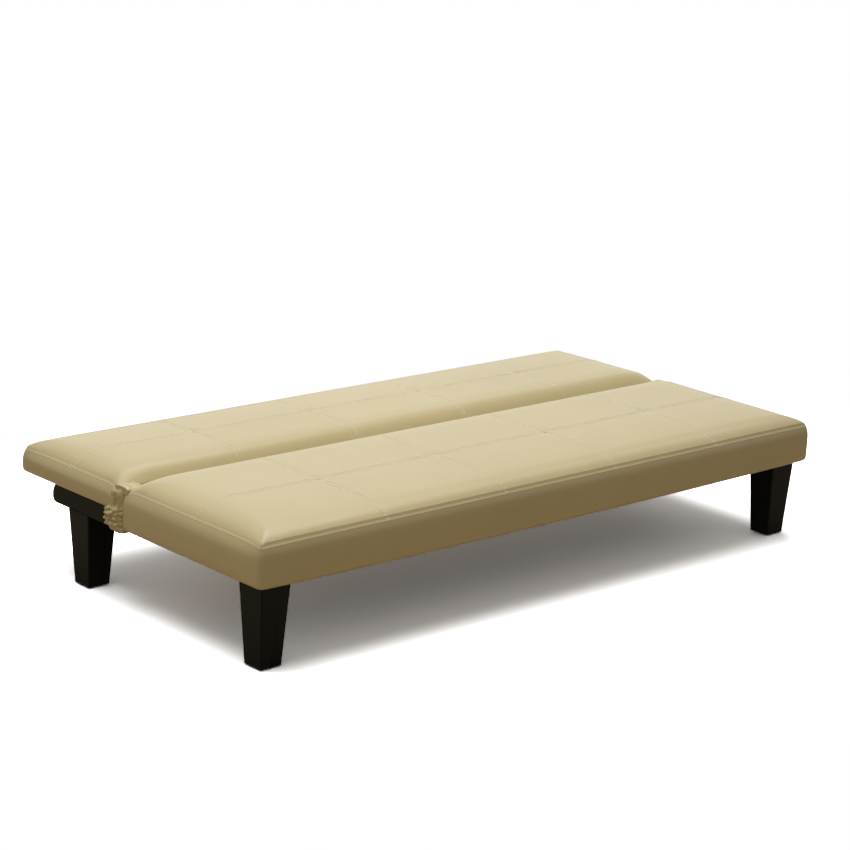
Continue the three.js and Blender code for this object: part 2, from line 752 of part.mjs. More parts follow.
// The back's plate is cranked: its eye stands inboard of the disc and its arm lies on the back's rail
function backPlate(side) {
  const holes = [{ y: pivotY, z: pivotHeight, radius: pinRadius + runGap }];
  const endY = pivotY + plateArm;
  const endZ = pivotHeight - plateDrop;
  const outline = linkOutline(pivotY, pivotHeight, backPlateEye, endY, endZ, plateEnd, holes);
  const reach = plateArm + plateEnd + overrun;
  const [eyeX, armX] = [backPlateNear, seatPlateNear].map((near) => halfLength - near);
  const band = new THREE.Shape();
  const path = [
    [-backPlateEye - overrun, eyeX], [jogStart, eyeX], [jogEnd, armX], [reach, armX],
    [reach, armX - plateThickness], [jogEnd, armX - plateThickness],
    [jogStart, eyeX - plateThickness], [-backPlateEye - overrun, eyeX - plateThickness],
  ];
  path.forEach(([y, x], k) => {
    const point = [side * x, pivotY + y];
    if (k === 0) band.moveTo(...point);
    else band.lineTo(...point);
  });
  band.closePath();
  const low = pivotHeight - plateDrop - plateEnd - overrun;
  const high = pivotHeight + backPlateEye + overrun;
  const bent = solidOf(standing(band, low, high));
  const face = solidOf(lying(outline, side, pocketNear - overrun, cheekNear));
  const plate = bent.intersect(face);
  return screwHeads(side, seatPlateNear, -1).reduce((sum, head) => sum.add(head), plate);
}

// The disc turns with the back. Its teeth ramp up one way and end in a face that leans on the pawl, and
// past the last tooth a plain land lifts the pawl out again. The rest of its rim is no wider than the eyes
// of the plates.
function toothedDisc(side) {
  const outline = new THREE.Shape();
  const point = (radius, angle) => {
    return [pivotY + radius * Math.cos(angle), pivotHeight + radius * Math.sin(angle)];
  };
  const firstFace = noseAngle - lastCatch + faceLead;
  outline.moveTo(...point(toothRoot, releaseStart));
  outline.lineTo(...point(toothTip, releaseStart + faceLead));
  outline.absarc(pivotY, pivotHeight, toothTip, releaseStart + faceLead, releaseEnd - faceLead, false);
  outline.lineTo(...point(toothRoot, releaseEnd));
  outline.absarc(pivotY, pivotHeight, toothRoot, releaseEnd, firstFace, false);
  for (let tooth = 0; tooth < toothCount; tooth += 1) {
    const face = firstFace + tooth * toothPitch;
    outline.lineTo(...point(toothTip, face));
    outline.lineTo(...point(toothRoot, face + toothPitch));
  }
  const lastRoot = firstFace + toothCount * toothPitch;
  const plain = noseAngle + toothPitch;
  outline.absarc(pivotY, pivotHeight, toothRoot, lastRoot, plain, false);
  outline.absarc(pivotY, pivotHeight, seatPlateEye, plain, releaseStart + 2 * Math.PI, false);
  outline.closePath();
  const bore = new THREE.Path();
  bore.absarc(pivotY, pivotHeight, pinRadius + runGap, 0, 2 * Math.PI, true);
  outline.holes.push(bore);
  return solidOf(lying(outline, side, discNear, discNear + discThickness, 12));
}

// The pawl is drawn in mesh with the teeth and then swung out by its throw, as it is parked while the bed
// lies flat. The leaf spring rests on one of the two flats on its hub, and so holds it in or out.
function pawl(side) {
  const polar = (radius, angle) => [radius * Math.cos(angle) - pawlY, radius * Math.sin(angle) - pawlZ];
  const nose = noseAngle + noseLead;
  const arm = new THREE.Shape();
  const corners = [
    polar(toothRoot + runGap, nose),
    polar(toothTip + 2 * runGap, nose - toothPitch + noseLead / 2),
    polar(pawlDistance - pawlHub, pawlAngle + noseLead),
    polar(pawlDistance + pawlHub - runGap, pawlAngle + noseLead),
    polar(toothTip + pawlHub - runGap, nose),
  ];
  corners.forEach((corner, k) => (k === 0 ? arm.moveTo(...corner) : arm.lineTo(...corner)));
  arm.closePath();
  const thickness = discThickness;
  const flat = (lean) => {
    const reach = pawlHub + overrun;
    const cut = board(-overrun, thickness + overrun, -reach, reach, pawlFlat, 2 * pawlHub);
    return solidOf(cut.rotateX(lean));
  };
  const hub = solidOf(prismAtOrigin(roundOutline(pawlHub), thickness));
  const blade = solidOf(prismAtOrigin(arm, thickness));
  const bore = prismAtOrigin(roundOutline(pawlHole), thickness + 2 * overrun).translate(-overrun, 0, 0);
  const meshed = hub.add(blade).subtract(flat(0)).subtract(flat(pawlThrow)).subtract(solidOf(bore));
  const x = side > 0 ? halfLength - discNear - thickness : discNear - halfLength;
  const swung = geometryOf(meshed).rotateX(-pawlThrow);
  return swung.translate(x, pivotY + pawlY, pivotHeight + pawlZ);
}

function roundOutline(radius) {
  const outline = new THREE.Shape();
  outline.absarc(0, 0, radius, 0, 2 * Math.PI, false);
  return outline;
}

function prismAtOrigin(outline, thickness) {
  const options = { depth: thickness, bevelEnabled: false, curveSegments: 8 };
  return new THREE.ExtrudeGeometry(outline, options).applyMatrix4(acrossBed);
}

// The cheek closes the fork and carries the stud that the pawl turns on
function cheek(side) {
  const holes = [{ y: pivotY, z: pivotHeight, radius: pinRadius + runGap }];
  const endY = pivotY + pawlY;
  const endZ = pivotHeight + pawlZ;
  const outline = linkOutline(pivotY, pivotHeight, cheekEye, endY, endZ, cheekEnd, holes);
  const plate = solidOf(lying(outline, side, cheekNear, cheekNear + cheekThickness));
  const stud = lyingPeg(side, seatPlateNear, cheekNear + cheekThickness / 2, endY, endZ, pawlStud);
  return plate.add(solidOf(stud));
}

function pivotPin(side) {
  const headNear = cheekNear + cheekThickness + seatGap;
  const shankFar = headNear + pinHeadHeight / 2;
  const shank = lyingPeg(side, seatPlateNear, shankFar, pivotY, pivotHeight, pinRadius, 16);
  const head = lyingPeg(side, headNear, headNear + pinHeadHeight, pivotY, pivotHeight, pinHeadRadius, 16);
  return solidOf(shank).add(solidOf(head));
}

function leafSpring(side) {
  const z = pivotHeight + pawlZ + pawlFlat + seatGap;
  const y1 = pivotY + pawlY + springTip;
  const y0 = y1 - springReach;
  const near = discNear + (discThickness - springWidth) / 2;
  const leaf = solidOf(endBoard(side, near, near + springWidth, y0, y1, z, z + springThickness));
  const [z0, z1] = [z - springFoot / 2, z + springThickness];
  const foot = endBoard(side, discNear - plateGap / 4, near + springWidth, y0, y0 + springFoot, z0, z1);
  return leaf.add(solidOf(foot));
}

// Gathered fabric that hides each hinge: narrow between the pads, fuller below the back's edge. Each level is
// a share of the height from its foot, with the share of the full reach that the folds take there.
const gatherLevelShares = [0, 0.08, 0.22, 0.36, 0.5, 0.75, 1];
const gatherReachShares = [0.4, 0.78, 1, 0.97, 0.85, 0.7, 0.58];

function gather(side) {
  const rings = gatherLevelShares.map((levelShare, row) => {
    const z = THREE.MathUtils.lerp(gatherFloor, gatherTop, levelShare);
    return gatherRing(side, z, gatherReach * gatherReachShares[row]);
  });
  const backForm = solidOf(padForm(backPad, -runGap, backBottom - runGap, 2));
  const folds = solidOf(loft(rings)).subtract(backForm);
  return folds.add(hood(side)).add(hoodNeck(side));
}

// The gathered cloth runs inwards as a low arched hood over the eyes of the hinge plates
function hood(side) {
  const inner = hoodRise - hoodThickness;
  const foot = pivotHeight + backPlateEye + hoodGap - inner;
  const outline = new THREE.Shape();
  outline.absellipse(pivotY, foot, hoodReach, hoodRise, 0, Math.PI, false);
  outline.absellipse(pivotY, foot, hoodReach - hoodThickness, inner, Math.PI, 0, true);
  outline.closePath();
  return solidOf(lying(outline, side, gatherFront + gatherTuck, pocketNear + pocketWidth - runGap, 10));
}

function hoodNeck(side) {
  const y0 = seatHingeEdge + runGap;
  const y1 = seatHingeEdge + hingeGap - runGap;
  const z1 = pivotHeight + backPlateEye + hoodGap + hoodThickness / 2;
  const near = gatherFront + pleatDepth + gatherTuck;
  return solidOf(endBoard(side, near, gatherDepth, y0, y1, gatherTop - overrun, z1));
}

function gatherRing(side, z, reach) {
  const outside = [];
  const inside = [];
  const y0 = pivotY - hingeGap / 2 + runGap;
  for (let k = 0; k <= 2 * pleatCount; k += 1) {
    const y = y0 + reach * k / (2 * pleatCount);
    const outer = gatherFront + (k % 2 ? pleatDepth : 0);
    outside.push(new THREE.Vector3(side * (halfLength - outer), y, z));
    if (k % 2 === 0) inside.push(new THREE.Vector3(side * (halfLength - gatherDepth), y, z));
  }
  const ring = [...outside, ...inside.reverse()];
  return side > 0 ? ring : ring.reverse();
}

// The strip of cloth that joins the two covers under the groove
function joiningStrip() {
  const reach = hingeGap / 2 - seatGap;
  const outline = new THREE.Shape();
  outline.moveTo(pivotY - reach, stripTop);
  outline.lineTo(pivotY - reach, stripTop - hingeGap);
  outline.absarc(pivotY, stripTop - hingeGap, reach, Math.PI, 2 * Math.PI, false);
  outline.lineTo(pivotY + reach, stripTop);
  outline.lineTo(pivotY + reach - stripThickness, stripTop);
  outline.absarc(pivotY, stripTop - hingeGap, reach - stripThickness, 2 * Math.PI, Math.PI, true);
  outline.lineTo(pivotY - reach + stripThickness, stripTop);
  outline.closePath();
  return lying(outline, -1, stripInset, bedLength - stripInset);
}

// Heights that the bolts share
const barBoltHeight = (seatRailBottom + barTop) / 2;
const nutSeat = barTop - nutHeight - 2 * seatGap;
const barBoltYs = [barBoltInset, seatDepth - frameInset - barBoltInset].map((d) => {
  return frontEdge + Math.max(d, barFront + barBoltInset);
});

// The seat, which stands on the legs
place(seat, 'seat_cover', cutForBars(coverOf(seatPad, 1)), leather);
place(seat, 'seat_foam', foamOf(seatPad, 1), foam);
place(seat, 'seat_deck_board', deckOf(seatPad, 1), timber);
place(seat, 'seat_dust_cloth', dustCloth(), cloth);
place(seat, 'seat_front_rail', outerRail(seatPad, seatRailBottom, seatRailTop), timber);
const rearRailEnd = barNear + barWidth + seatGap;
place(seat, 'seat_rear_rail', hingeRail(seatPad, rearRailEnd, seatRailBottom, seatRailTop), timber);
place(seat, 'seat_left_slat', slat(seatPad, -slatSpan / 2, seatRailTop), timber);
place(seat, 'seat_right_slat', slat(seatPad, slatSpan / 2, seatRailTop), timber);

// The back, which turns about the hinges
place(back, 'back_cover', coverOf(backPad, -1), leather);
place(back, 'back_foam', foamOf(backPad, -1), foam);
place(back, 'back_deck_board', deckOf(backPad, -1), timber);
place(back, 'back_lining', liningOf(backPad), cloth);
place(back, 'back_outer_rail', outerRail(backPad, backRailBottom, backRailTop), timber);
const innerRailEnd = pocketNear + pocketWidth + seatGap;
place(back, 'back_inner_rail', hingeRail(backPad, innerRailEnd, backRailBottom, backRailTop), timber);
place(back, 'back_left_slat', slat(backPad, -slatSpan / 2, backRailTop), timber);
place(back, 'back_right_slat', slat(backPad, slatSpan / 2, backRailTop), timber);

for (const [name, side] of [['left', -1], ['right', 1]]) {
  const legX = side * (halfLength - legInset - legTop / 2);
  const frontLegY = frontEdge + legInset + legTop / 2;
  const rearLegY = frontEdge + rearLegCentre;
  const frontLegTop = seatBottom - seatGap;
  const rearLegTop = barBottom - seatGap;
  place(seat, `seat_${name}_rail`, boredSideRail(side, barBoltYs), timber);
  place(seat, `front_${name}_corner_block`, cornerBlock(side, legX, frontLegY), timber);
  place(seat, `${name}_support_bar`, bar(side, barBoltYs, rearLegY), blackWood);
  place(seat, `${name}_front_bar_bolt`, barBolt(side, barBoltYs[0]), steel);
  place(seat, `${name}_rear_bar_bolt`, barBolt(side, barBoltYs[1]), steel);
  place(seat, `front_${name}_leg`, leg(legX, frontLegY, frontLegTop), blackWood);
  place(seat, `rear_${name}_leg`, leg(legX, rearLegY, rearLegTop), blackWood);
  place(seat, `front_${name}_glide`, glide(legX, frontLegY), plastic);
  place(seat, `rear_${name}_glide`, glide(legX, rearLegY), plastic);
  const blockTop = seatRailBottom + blockHeight + seatGap;
  place(seat, `front_${name}_leg_bolt`, legBolt(legX, frontLegY, frontLegTop, blockTop), steel);
  place(seat, `rear_${name}_leg_bolt`, legBolt(legX, rearLegY, rearLegTop, nutSeat + seatGap), steel);
  place(seat, `${name}_seat_plate`, seatPlate(side), steel);
  place(seat, `${name}_cheek`, cheek(side), steel);
  place(seat, `${name}_pivot_pin`, pivotPin(side), steel);
  place(seat, `${name}_leaf_spring`, leafSpring(side), springSteel);
  place(seat, `${name}_pawl`, pawl(side), springSteel);
  place(seat, `${name}_hinge_gather`, gather(side), leather);
  place(back, `back_${name}_rail`, sideRail(backPad, side, backRailBottom, backRailTop), timber);
  place(back, `${name}_back_plate`, backPlate(side), steel);
  place(back, `${name}_ratchet_disc`, toothedDisc(side), steel);
}
place(seat, 'joining_strip', joiningStrip(), leather);

export default bed;
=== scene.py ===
# %% [markdown]
# # A click clack sofa bed, laid flat
# Two long upholstered pads lie side by side on a low wooden frame. The front pad is the seat and the other
# is the back, which folds up about a pair of ratchet hinges. The CAD part already gives the shape of every
# piece, so this lesson dresses it: softer pads, seams, stitching, gathered leathercloth, wood, steel, and a
# studio to see it in.

# %% Load the CAD part
import json
import math

import bmesh
import bpy
import mathutils
import numpy as np
from mathutils import Matrix, Vector
from mathutils.bvhtree import BVHTree


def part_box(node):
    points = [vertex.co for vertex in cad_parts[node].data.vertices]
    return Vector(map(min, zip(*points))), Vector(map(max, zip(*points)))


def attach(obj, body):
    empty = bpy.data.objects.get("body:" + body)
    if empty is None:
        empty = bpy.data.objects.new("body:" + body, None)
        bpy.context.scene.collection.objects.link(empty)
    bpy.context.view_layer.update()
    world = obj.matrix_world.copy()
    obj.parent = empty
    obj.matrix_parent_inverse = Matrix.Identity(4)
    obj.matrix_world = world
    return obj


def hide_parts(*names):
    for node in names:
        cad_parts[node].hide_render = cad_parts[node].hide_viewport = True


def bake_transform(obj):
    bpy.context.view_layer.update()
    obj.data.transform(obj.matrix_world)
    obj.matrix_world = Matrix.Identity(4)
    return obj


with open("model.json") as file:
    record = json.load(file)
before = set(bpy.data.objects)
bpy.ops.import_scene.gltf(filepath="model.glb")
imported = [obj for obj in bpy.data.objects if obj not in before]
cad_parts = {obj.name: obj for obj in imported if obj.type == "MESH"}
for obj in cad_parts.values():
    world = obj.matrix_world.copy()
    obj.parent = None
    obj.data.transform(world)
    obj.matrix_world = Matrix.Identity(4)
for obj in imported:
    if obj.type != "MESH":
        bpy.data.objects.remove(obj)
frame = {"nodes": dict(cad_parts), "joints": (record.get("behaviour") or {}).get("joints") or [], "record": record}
nodes = frame["nodes"]
scene = bpy.context.scene
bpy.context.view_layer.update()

# %% [markdown]
# ## The camera
# The photograph was taken with a long lens from the left front, a little above the bed, and the camera
# leaned slightly. Its place and its angles were found by fitting the corners of the bed, so they are
# written as a position, a turn, a pitch and a roll. A long lens keeps the far end of the bed nearly as
# large as the near one.

# %% Place the camera
camera_place = Vector((-3.630, -3.9495, 1.765))
camera_turn, camera_pitch, camera_roll = math.radians(-42.39), math.radians(15.27), math.radians(2.53)
lens = bpy.data.cameras.new("photo_camera")
lens.sensor_width = 36
lens.lens = 101.88
lens.clip_start, lens.clip_end = 0.1, 200
camera = bpy.data.objects.new("photo_camera", lens)
scene.collection.objects.link(camera)
upright = Matrix.Rotation(math.pi / 2, 4, "X")
camera.matrix_world = (
    Matrix.Translation(camera_place)
    @ Matrix.Rotation(camera_turn, 4, "Z")
    @ Matrix.Rotation(-camera_pitch, 4, "X")
    @ upright
    @ Matrix.Rotation(camera_roll, 4, "Z")
)
scene.camera = camera
print("camera at", tuple(round(v, 3) for v in camera_place))

# %% [markdown]
# ## The studio
# The bed stands on a white floor that runs into a white background, and the only dark thing on the floor is
# its own soft shadow. One wide lamp overhead makes that shadow and the bright tops, and a weak one far
# behind keeps the tops bright right to the back edge. The world lights the rest evenly. It looks white to
# the camera and in reflections, and is dimmer as a light, so the sides of the pads stay darker than their
# tops.

# %% Hang the lamps
scene.view_settings.view_transform = "Standard"


def lamp(name, place, aim, size, power):
    data = bpy.data.lights.new(name, "AREA")
    data.shape = "RECTANGLE"
    data.size, data.size_y = size
    data.energy = power
    found = bpy.data.objects.new(name, data)
    found.location = place
    found.rotation_euler = (Vector(aim) - Vector(place)).to_track_quat("-Z", "Y").to_euler()
    scene.collection.objects.link(found)
    return found


overhead = lamp("overhead", place=(-0.2, 0.38, 3.0), aim=(0, 0, 0.3), size=(4.2, 2.0), power=100)
far_lamp = lamp("behind", place=(1.8, 3.8, 1.6), aim=(0, 0, 0.2), size=(5.0, 2.2), power=17)
far_lamp.visible_glossy = False
print("lamps", overhead.name, overhead.data.energy, "W,", far_lamp.name, far_lamp.data.energy, "W")

# %% Light the white world
world_seen = 1.0  # how bright it looks to the camera and in reflections
world_as_light = 0.17  # how bright it is as a light


def larger(tree, first, second):
    node = tree.nodes.new("ShaderNodeMath")
    node.operation = "MAXIMUM"
    tree.links.new(first, node.inputs[0])
    tree.links.new(second, node.inputs[1])
    return node.outputs[0]


world = bpy.data.worlds.new("studio")
scene.world = world
world.use_nodes = True
tree = world.node_tree
tree.nodes.clear()
paths = tree.nodes.new("ShaderNodeLightPath")
camera_or_gloss = larger(tree, paths.outputs["Is Camera Ray"], paths.outputs["Is Glossy Ray"])
seen = larger(tree, camera_or_gloss, paths.outputs["Is Transmission Ray"])
strength = tree.nodes.new("ShaderNodeMapRange")
strength.inputs["To Min"].default_value = world_as_light
strength.inputs["To Max"].default_value = world_seen
tree.links.new(seen, strength.inputs["Value"])
sky = tree.nodes.new("ShaderNodeBackground")
sky.inputs["Color"].default_value = (1, 1, 1, 1)
tree.links.new(strength.outputs["Result"], sky.inputs["Strength"])
tree.links.new(sky.outputs[0], tree.nodes.new("ShaderNodeOutputWorld").inputs[0])
print("world seen at", world_seen, "and lights at", world_as_light)

# %% [markdown]
# ## The floor
# A plain white sheet of paper would look grey, because it is lit less than the paper white of a picture.
# Light Path helps: for rays from the camera the floor is brighter and turns pure white away from the bed,
# and for every other ray it stays a plain floor, so it throws no extra light on the bed and still takes its
# shadow. Its back face is clear, so the bed's underside can be looked at from below. The plain floor is
# warm in colour, because in the photograph the light that comes up on to the sides of the bed is warmer
# than the light from above.

# %% Lay the floor
def new_piece(name, points, faces):
    mesh = bpy.data.meshes.new(name)
    mesh.from_pydata(points, [], faces)
    found = bpy.data.objects.new(name, mesh)
    scene.collection.objects.link(found)
    return found


reach = 12.0
floor_corners = [(-reach, -reach, 0), (reach, -reach, 0), (reach, reach, 0), (-reach, reach, 0)]
floor = new_piece("floor", floor_corners, [(0, 1, 2, 3)])
print("floor", reach * 2, "m wide")

# %% Make the floor's three coats
bounce_colour = (0.54, 0.42, 0.28)  # the floor as the bed sees it
paper_gain = 2.75  # what the camera sees on top of plain white

paper = bpy.data.materials.new("studio_floor")
paper.use_nodes = True
tree = paper.node_tree
plain = tree.nodes["Principled BSDF"]
plain.inputs["Base Color"].default_value = (*bounce_colour, 1)
plain.inputs["Roughness"].default_value = 0.9
shaded = tree.nodes.new("ShaderNodeAddShader")
for number, brightness in enumerate((1, paper_gain)):
    layer = tree.nodes.new("ShaderNodeBsdfDiffuse")
    layer.inputs["Color"].default_value = (brightness, brightness, brightness, 1)
    tree.links.new(layer.outputs[0], shaded.inputs[number])
white = tree.nodes.new("ShaderNodeEmission")
white.inputs["Strength"].default_value = 1.0
print(paper.name, "is plain", bounce_colour, "shaded up to", 1 + paper_gain, "or pure white")

# %% Choose between the coats
paper_squeeze = (0.62, 0.9, 1)  # turns the round mask into an oval about the bed
shaded_within, white_beyond = 0.75, 1.25


def mixed_shader(tree, share, first, second):
    node = tree.nodes.new("ShaderNodeMixShader")
    for number, source in enumerate((share, first, second)):
        tree.links.new(source, node.inputs[number])
    return node.outputs[0]


place = tree.nodes.new("ShaderNodeTexCoord")
squeeze = tree.nodes.new("ShaderNodeMapping")
squeeze.inputs["Scale"].default_value = paper_squeeze
tree.links.new(place.outputs["Object"], squeeze.inputs["Vector"])
away = tree.nodes.new("ShaderNodeVectorMath")
away.operation = "LENGTH"
tree.links.new(squeeze.outputs[0], away.inputs[0])
mask = tree.nodes.new("ShaderNodeMapRange")
mask.interpolation_type = "SMOOTHSTEP"
mask.inputs["From Min"].default_value = shaded_within
mask.inputs["From Max"].default_value = white_beyond
tree.links.new(away.outputs["Value"], mask.inputs["Value"])
paths = tree.nodes.new("ShaderNodeLightPath")
paper_seen = mixed_shader(tree, mask.outputs["Result"], shaded.outputs[0], white.outputs[0])
from_above = mixed_shader(tree, paths.outputs["Is Camera Ray"], plain.outputs[0], paper_seen)
side = tree.nodes.new("ShaderNodeNewGeometry")
clear = tree.nodes.new("ShaderNodeBsdfTransparent")
either_side = mixed_shader(tree, side.outputs["Backfacing"], from_above, clear.outputs[0])
tree.links.new(either_side, tree.nodes["Material Output"].inputs["Surface"])
floor.data.materials.append(paper)
print("floor is shaded within", shaded_within, "and pure white beyond", white_beyond)

# %% [markdown]
# ## Materials made of nodes
# Every finish here is procedural: it is worked out from the point's place on the object, so it needs no
# picture and no unwrapping, and it stays sharp from any distance. A few helpers keep the recipes short. One
# starts a material, one adds a texture, one turns a value between 0 and 1 into two colours, and one makes
# fine relief.

# %% Start a material and add textures
def start_material(name, roughness, metallic=0.0):
    made = bpy.data.materials.new(name)
    made.use_nodes = True
    shader = made.node_tree.nodes["Principled BSDF"]
    shader.inputs["Roughness"].default_value = roughness
    shader.inputs["Metallic"].default_value = metallic
    return made, made.node_tree, shader


def stretched_place(tree, scale=(1, 1, 1)):
    coordinates = tree.nodes.new("ShaderNodeTexCoord")
    mapping = tree.nodes.new("ShaderNodeMapping")
    mapping.inputs["Scale"].default_value = scale
    tree.links.new(coordinates.outputs["Object"], mapping.inputs["Vector"])
    return mapping.outputs[0]


def noise(tree, place, scale, detail=3.0, roughness=0.5):
    node = tree.nodes.new("ShaderNodeTexNoise")
    node.inputs["Scale"].default_value = scale
    node.inputs["Detail"].default_value = detail
    node.inputs["Roughness"].default_value = roughness
    tree.links.new(place, node.inputs["Vector"])
    return node.outputs[0]


def cells(tree, place, scale, feature="F1"):
    node = tree.nodes.new("ShaderNodeTexVoronoi")
    node.feature = feature
    node.inputs["Scale"].default_value = scale
    tree.links.new(place, node.inputs["Vector"])
    return node.outputs["Distance"]


print("textures", [helper.__name__ for helper in (noise, cells)])

# %% Turn a texture into colour, relief or roughness
def two_colours(tree, value, low, high, start=0.3, end=0.7):
    ramp = tree.nodes.new("ShaderNodeValToRGB")
    ramp.color_ramp.elements[0].position = start
    ramp.color_ramp.elements[1].position = end
    ramp.color_ramp.elements[0].color = (*low, 1)
    ramp.color_ramp.elements[1].color = (*high, 1)
    tree.links.new(value, ramp.inputs[0])
    return ramp.outputs[0]


def relief(tree, shader, height, strength, distance, under=None):
    node = tree.nodes.new("ShaderNodeBump")
    node.inputs["Strength"].default_value = strength
    node.inputs["Distance"].default_value = distance
    tree.links.new(height, node.inputs["Height"])
    if under is not None:
        tree.links.new(under, node.inputs["Normal"])
    tree.links.new(node.outputs[0], shader.inputs["Normal"])
    return node.outputs[0]


def spread_values(tree, value, low, high):
    node = tree.nodes.new("ShaderNodeMapRange")
    node.inputs["From Min"].default_value = 0.3
    node.inputs["From Max"].default_value = 0.7
    node.inputs["To Min"].default_value = low
    node.inputs["To Max"].default_value = high
    tree.links.new(value, node.inputs["Value"])
    return node.outputs["Result"]


print("uses", [helper.__name__ for helper in (two_colours, relief, spread_values)])

# %% [markdown]
# ## Cream leathercloth
# The cover is PVC leathercloth: a coloured skin with an embossed hide grain. Small rounded cells make the
# pebbles of the grain, and a softer noise keeps them from looking stamped. The colour drifts a little from
# hide to hide, and the skin is satin, so at a low angle the white room shows in it as a pale sheen.

# %% Make the leathercloth
hide = (0.52, 0.425, 0.214)
hide_drift = 0.035  # share by which the colour drifts either way


def leathercloth(name, colour, grain=1.0):
    made, tree, shader = start_material(name, 0.46)
    shader.inputs["Specular IOR Level"].default_value = 0.25
    shader.inputs["Coat Weight"].default_value = 0.7
    shader.inputs["Coat Roughness"].default_value = 0.28
    shader.inputs["Coat IOR"].default_value = 1.27
    place = stretched_place(tree)
    drift = noise(tree, place, 2.6, 4.0)
    low = [channel * (1 - hide_drift) for channel in colour]
    high = [channel * (1 + hide_drift) for channel in colour]
    tree.links.new(two_colours(tree, drift, low, high), shader.inputs["Base Color"])
    patches = noise(tree, place, 9.0, 3.0)
    tree.links.new(spread_values(tree, patches, 0.43, 0.50), shader.inputs["Roughness"])
    pebbles = cells(tree, place, 620.0, "SMOOTH_F1")
    fine = noise(tree, place, 1500.0, 2.0)
    soft = noise(tree, place, 42.0, 3.0)
    first = relief(tree, shader, soft, 0.10, 0.0012)
    second = relief(tree, shader, pebbles, 0.16 * grain, 0.0004, first)
    relief(tree, shader, fine, 0.10 * grain, 0.0002, second)
    return made


leather = leathercloth("cream_leathercloth", hide)
print(leather.name, "nodes", len(leather.node_tree.nodes))

# %% [markdown]
# ## Thread and twine
# Sewing thread is a twisted yarn, paler than the hide on the quilting and close to its colour on the welt.
# The tufts are tied with a coarser, darker twine. The threads here are little more than a millimetre thick,
# so a real twist of strands would be wasted: a fine noise in two close colours, with a little relief, reads
# as yarn.

# %% Make the sewing thread and the twine of the tufts
def spun(name, darker, lighter):
    made, tree, shader = start_material(name, 0.7)
    twist = noise(tree, stretched_place(tree), 900.0, 2.0)
    tree.links.new(two_colours(tree, twist, darker, lighter), shader.inputs["Base Color"])
    relief(tree, shader, twist, 0.3, 0.0003)
    return made


thread = spun("sewing_thread", (0.92, 0.87, 0.72), (0.98, 0.94, 0.82))
welt_thread = spun("welt_thread", (0.60, 0.51, 0.31), (0.70, 0.61, 0.40))
twine = spun("tuft_twine", (0.17, 0.13, 0.08), (0.27, 0.22, 0.14))
print(thread.name, "nodes", len(thread.node_tree.nodes))

# %% [markdown]
# ## Wood, board and lacquer
# Timber shows long fibres, so its noise is squeezed along the fibre. The rails run along the bed or across
# it, and each direction gets its own material. Plywood has the same grain on its faces and thin darker
# layers at its edges. The legs and bars are stained black under a satin lacquer, where only a trace of the
# grain is left.

# %% Make the woods
def timber(name, squeeze, low, high, roughness=0.62):
    made, tree, shader = start_material(name, roughness)
    place = stretched_place(tree, squeeze)
    fibres = noise(tree, place, 60.0, 6.0, 0.6)
    bands = noise(tree, place, 9.0, 3.0)
    mixed = tree.nodes.new("ShaderNodeMath")
    mixed.operation = "ADD"
    halved = spread_values(tree, bands, -0.25, 0.25)
    tree.links.new(fibres, mixed.inputs[0])
    tree.links.new(halved, mixed.inputs[1])
    tree.links.new(two_colours(tree, mixed.outputs[0], low, high, 0.2, 0.8), shader.inputs["Base Color"])
    relief(tree, shader, fibres, 0.25, 0.0006)
    return made


pine = ((0.50, 0.30, 0.14), (0.72, 0.50, 0.28))
pine_along = timber("pine_along_bed", (0.06, 1, 1), *pine)
pine_across = timber("pine_across_bed", (1, 0.06, 1), *pine)
deck_wood = timber("plywood", (0.08, 1, 9), (0.52, 0.35, 0.19), (0.74, 0.57, 0.36))


def lacquer(name, squeeze):
    made, tree, shader = start_material(name, 0.42)
    shader.inputs["Specular IOR Level"].default_value = 0.10
    place = stretched_place(tree, squeeze)
    fibres = noise(tree, place, 55.0, 5.0, 0.6)
    colour = two_colours(tree, fibres, (0.0045, 0.0048, 0.0034), (0.0085, 0.0088, 0.0062))
    tree.links.new(colour, shader.inputs["Base Color"])
    tree.links.new(spread_values(tree, fibres, 0.38, 0.50), shader.inputs["Roughness"])
    relief(tree, shader, fibres, 0.12, 0.0005)
    return made


black_upright = lacquer("black_lacquer_upright", (1, 1, 0.07))
black_lying = lacquer("black_lacquer_lying", (1, 0.07, 1))
print([m.name for m in (pine_along, pine_across, deck_wood, black_upright, black_lying)])

# %% [markdown]
# ## Metal, plastic and lining
# The hinge plates and bolts are zinc plated, which gives a cool grey with cloudy patches. The toothed disc
# and pawl are plain steel with the fine lines of a stamping, and the leaf springs are darker, from
# tempering. The glides are moulded plastic. The lining is a non-woven cloth of pressed fibres, black and
# dull.

# %% Make the metals and the rest
def metal(name, low, high, roughness, squeeze=(1, 1, 1), scale=90.0):
    made, tree, shader = start_material(name, roughness, 1.0)
    place = stretched_place(tree, squeeze)
    cloud = noise(tree, place, scale, 4.0)
    tree.links.new(two_colours(tree, cloud, low, high), shader.inputs["Base Color"])
    tree.links.new(spread_values(tree, cloud, roughness - 0.06, roughness + 0.10), shader.inputs["Roughness"])
    relief(tree, shader, noise(tree, place, scale * 6, 2.0), 0.12, 0.0002)
    return made


zinc = metal("zinc_plate", (0.55, 0.56, 0.56), (0.72, 0.73, 0.71), 0.36)
plain_steel = metal("stamped_steel", (0.42, 0.43, 0.44), (0.56, 0.57, 0.58), 0.34, (1, 8, 1), 60.0)
dark_steel = metal("spring_steel", (0.16, 0.17, 0.20), (0.26, 0.26, 0.29), 0.30, (1, 8, 1), 70.0)

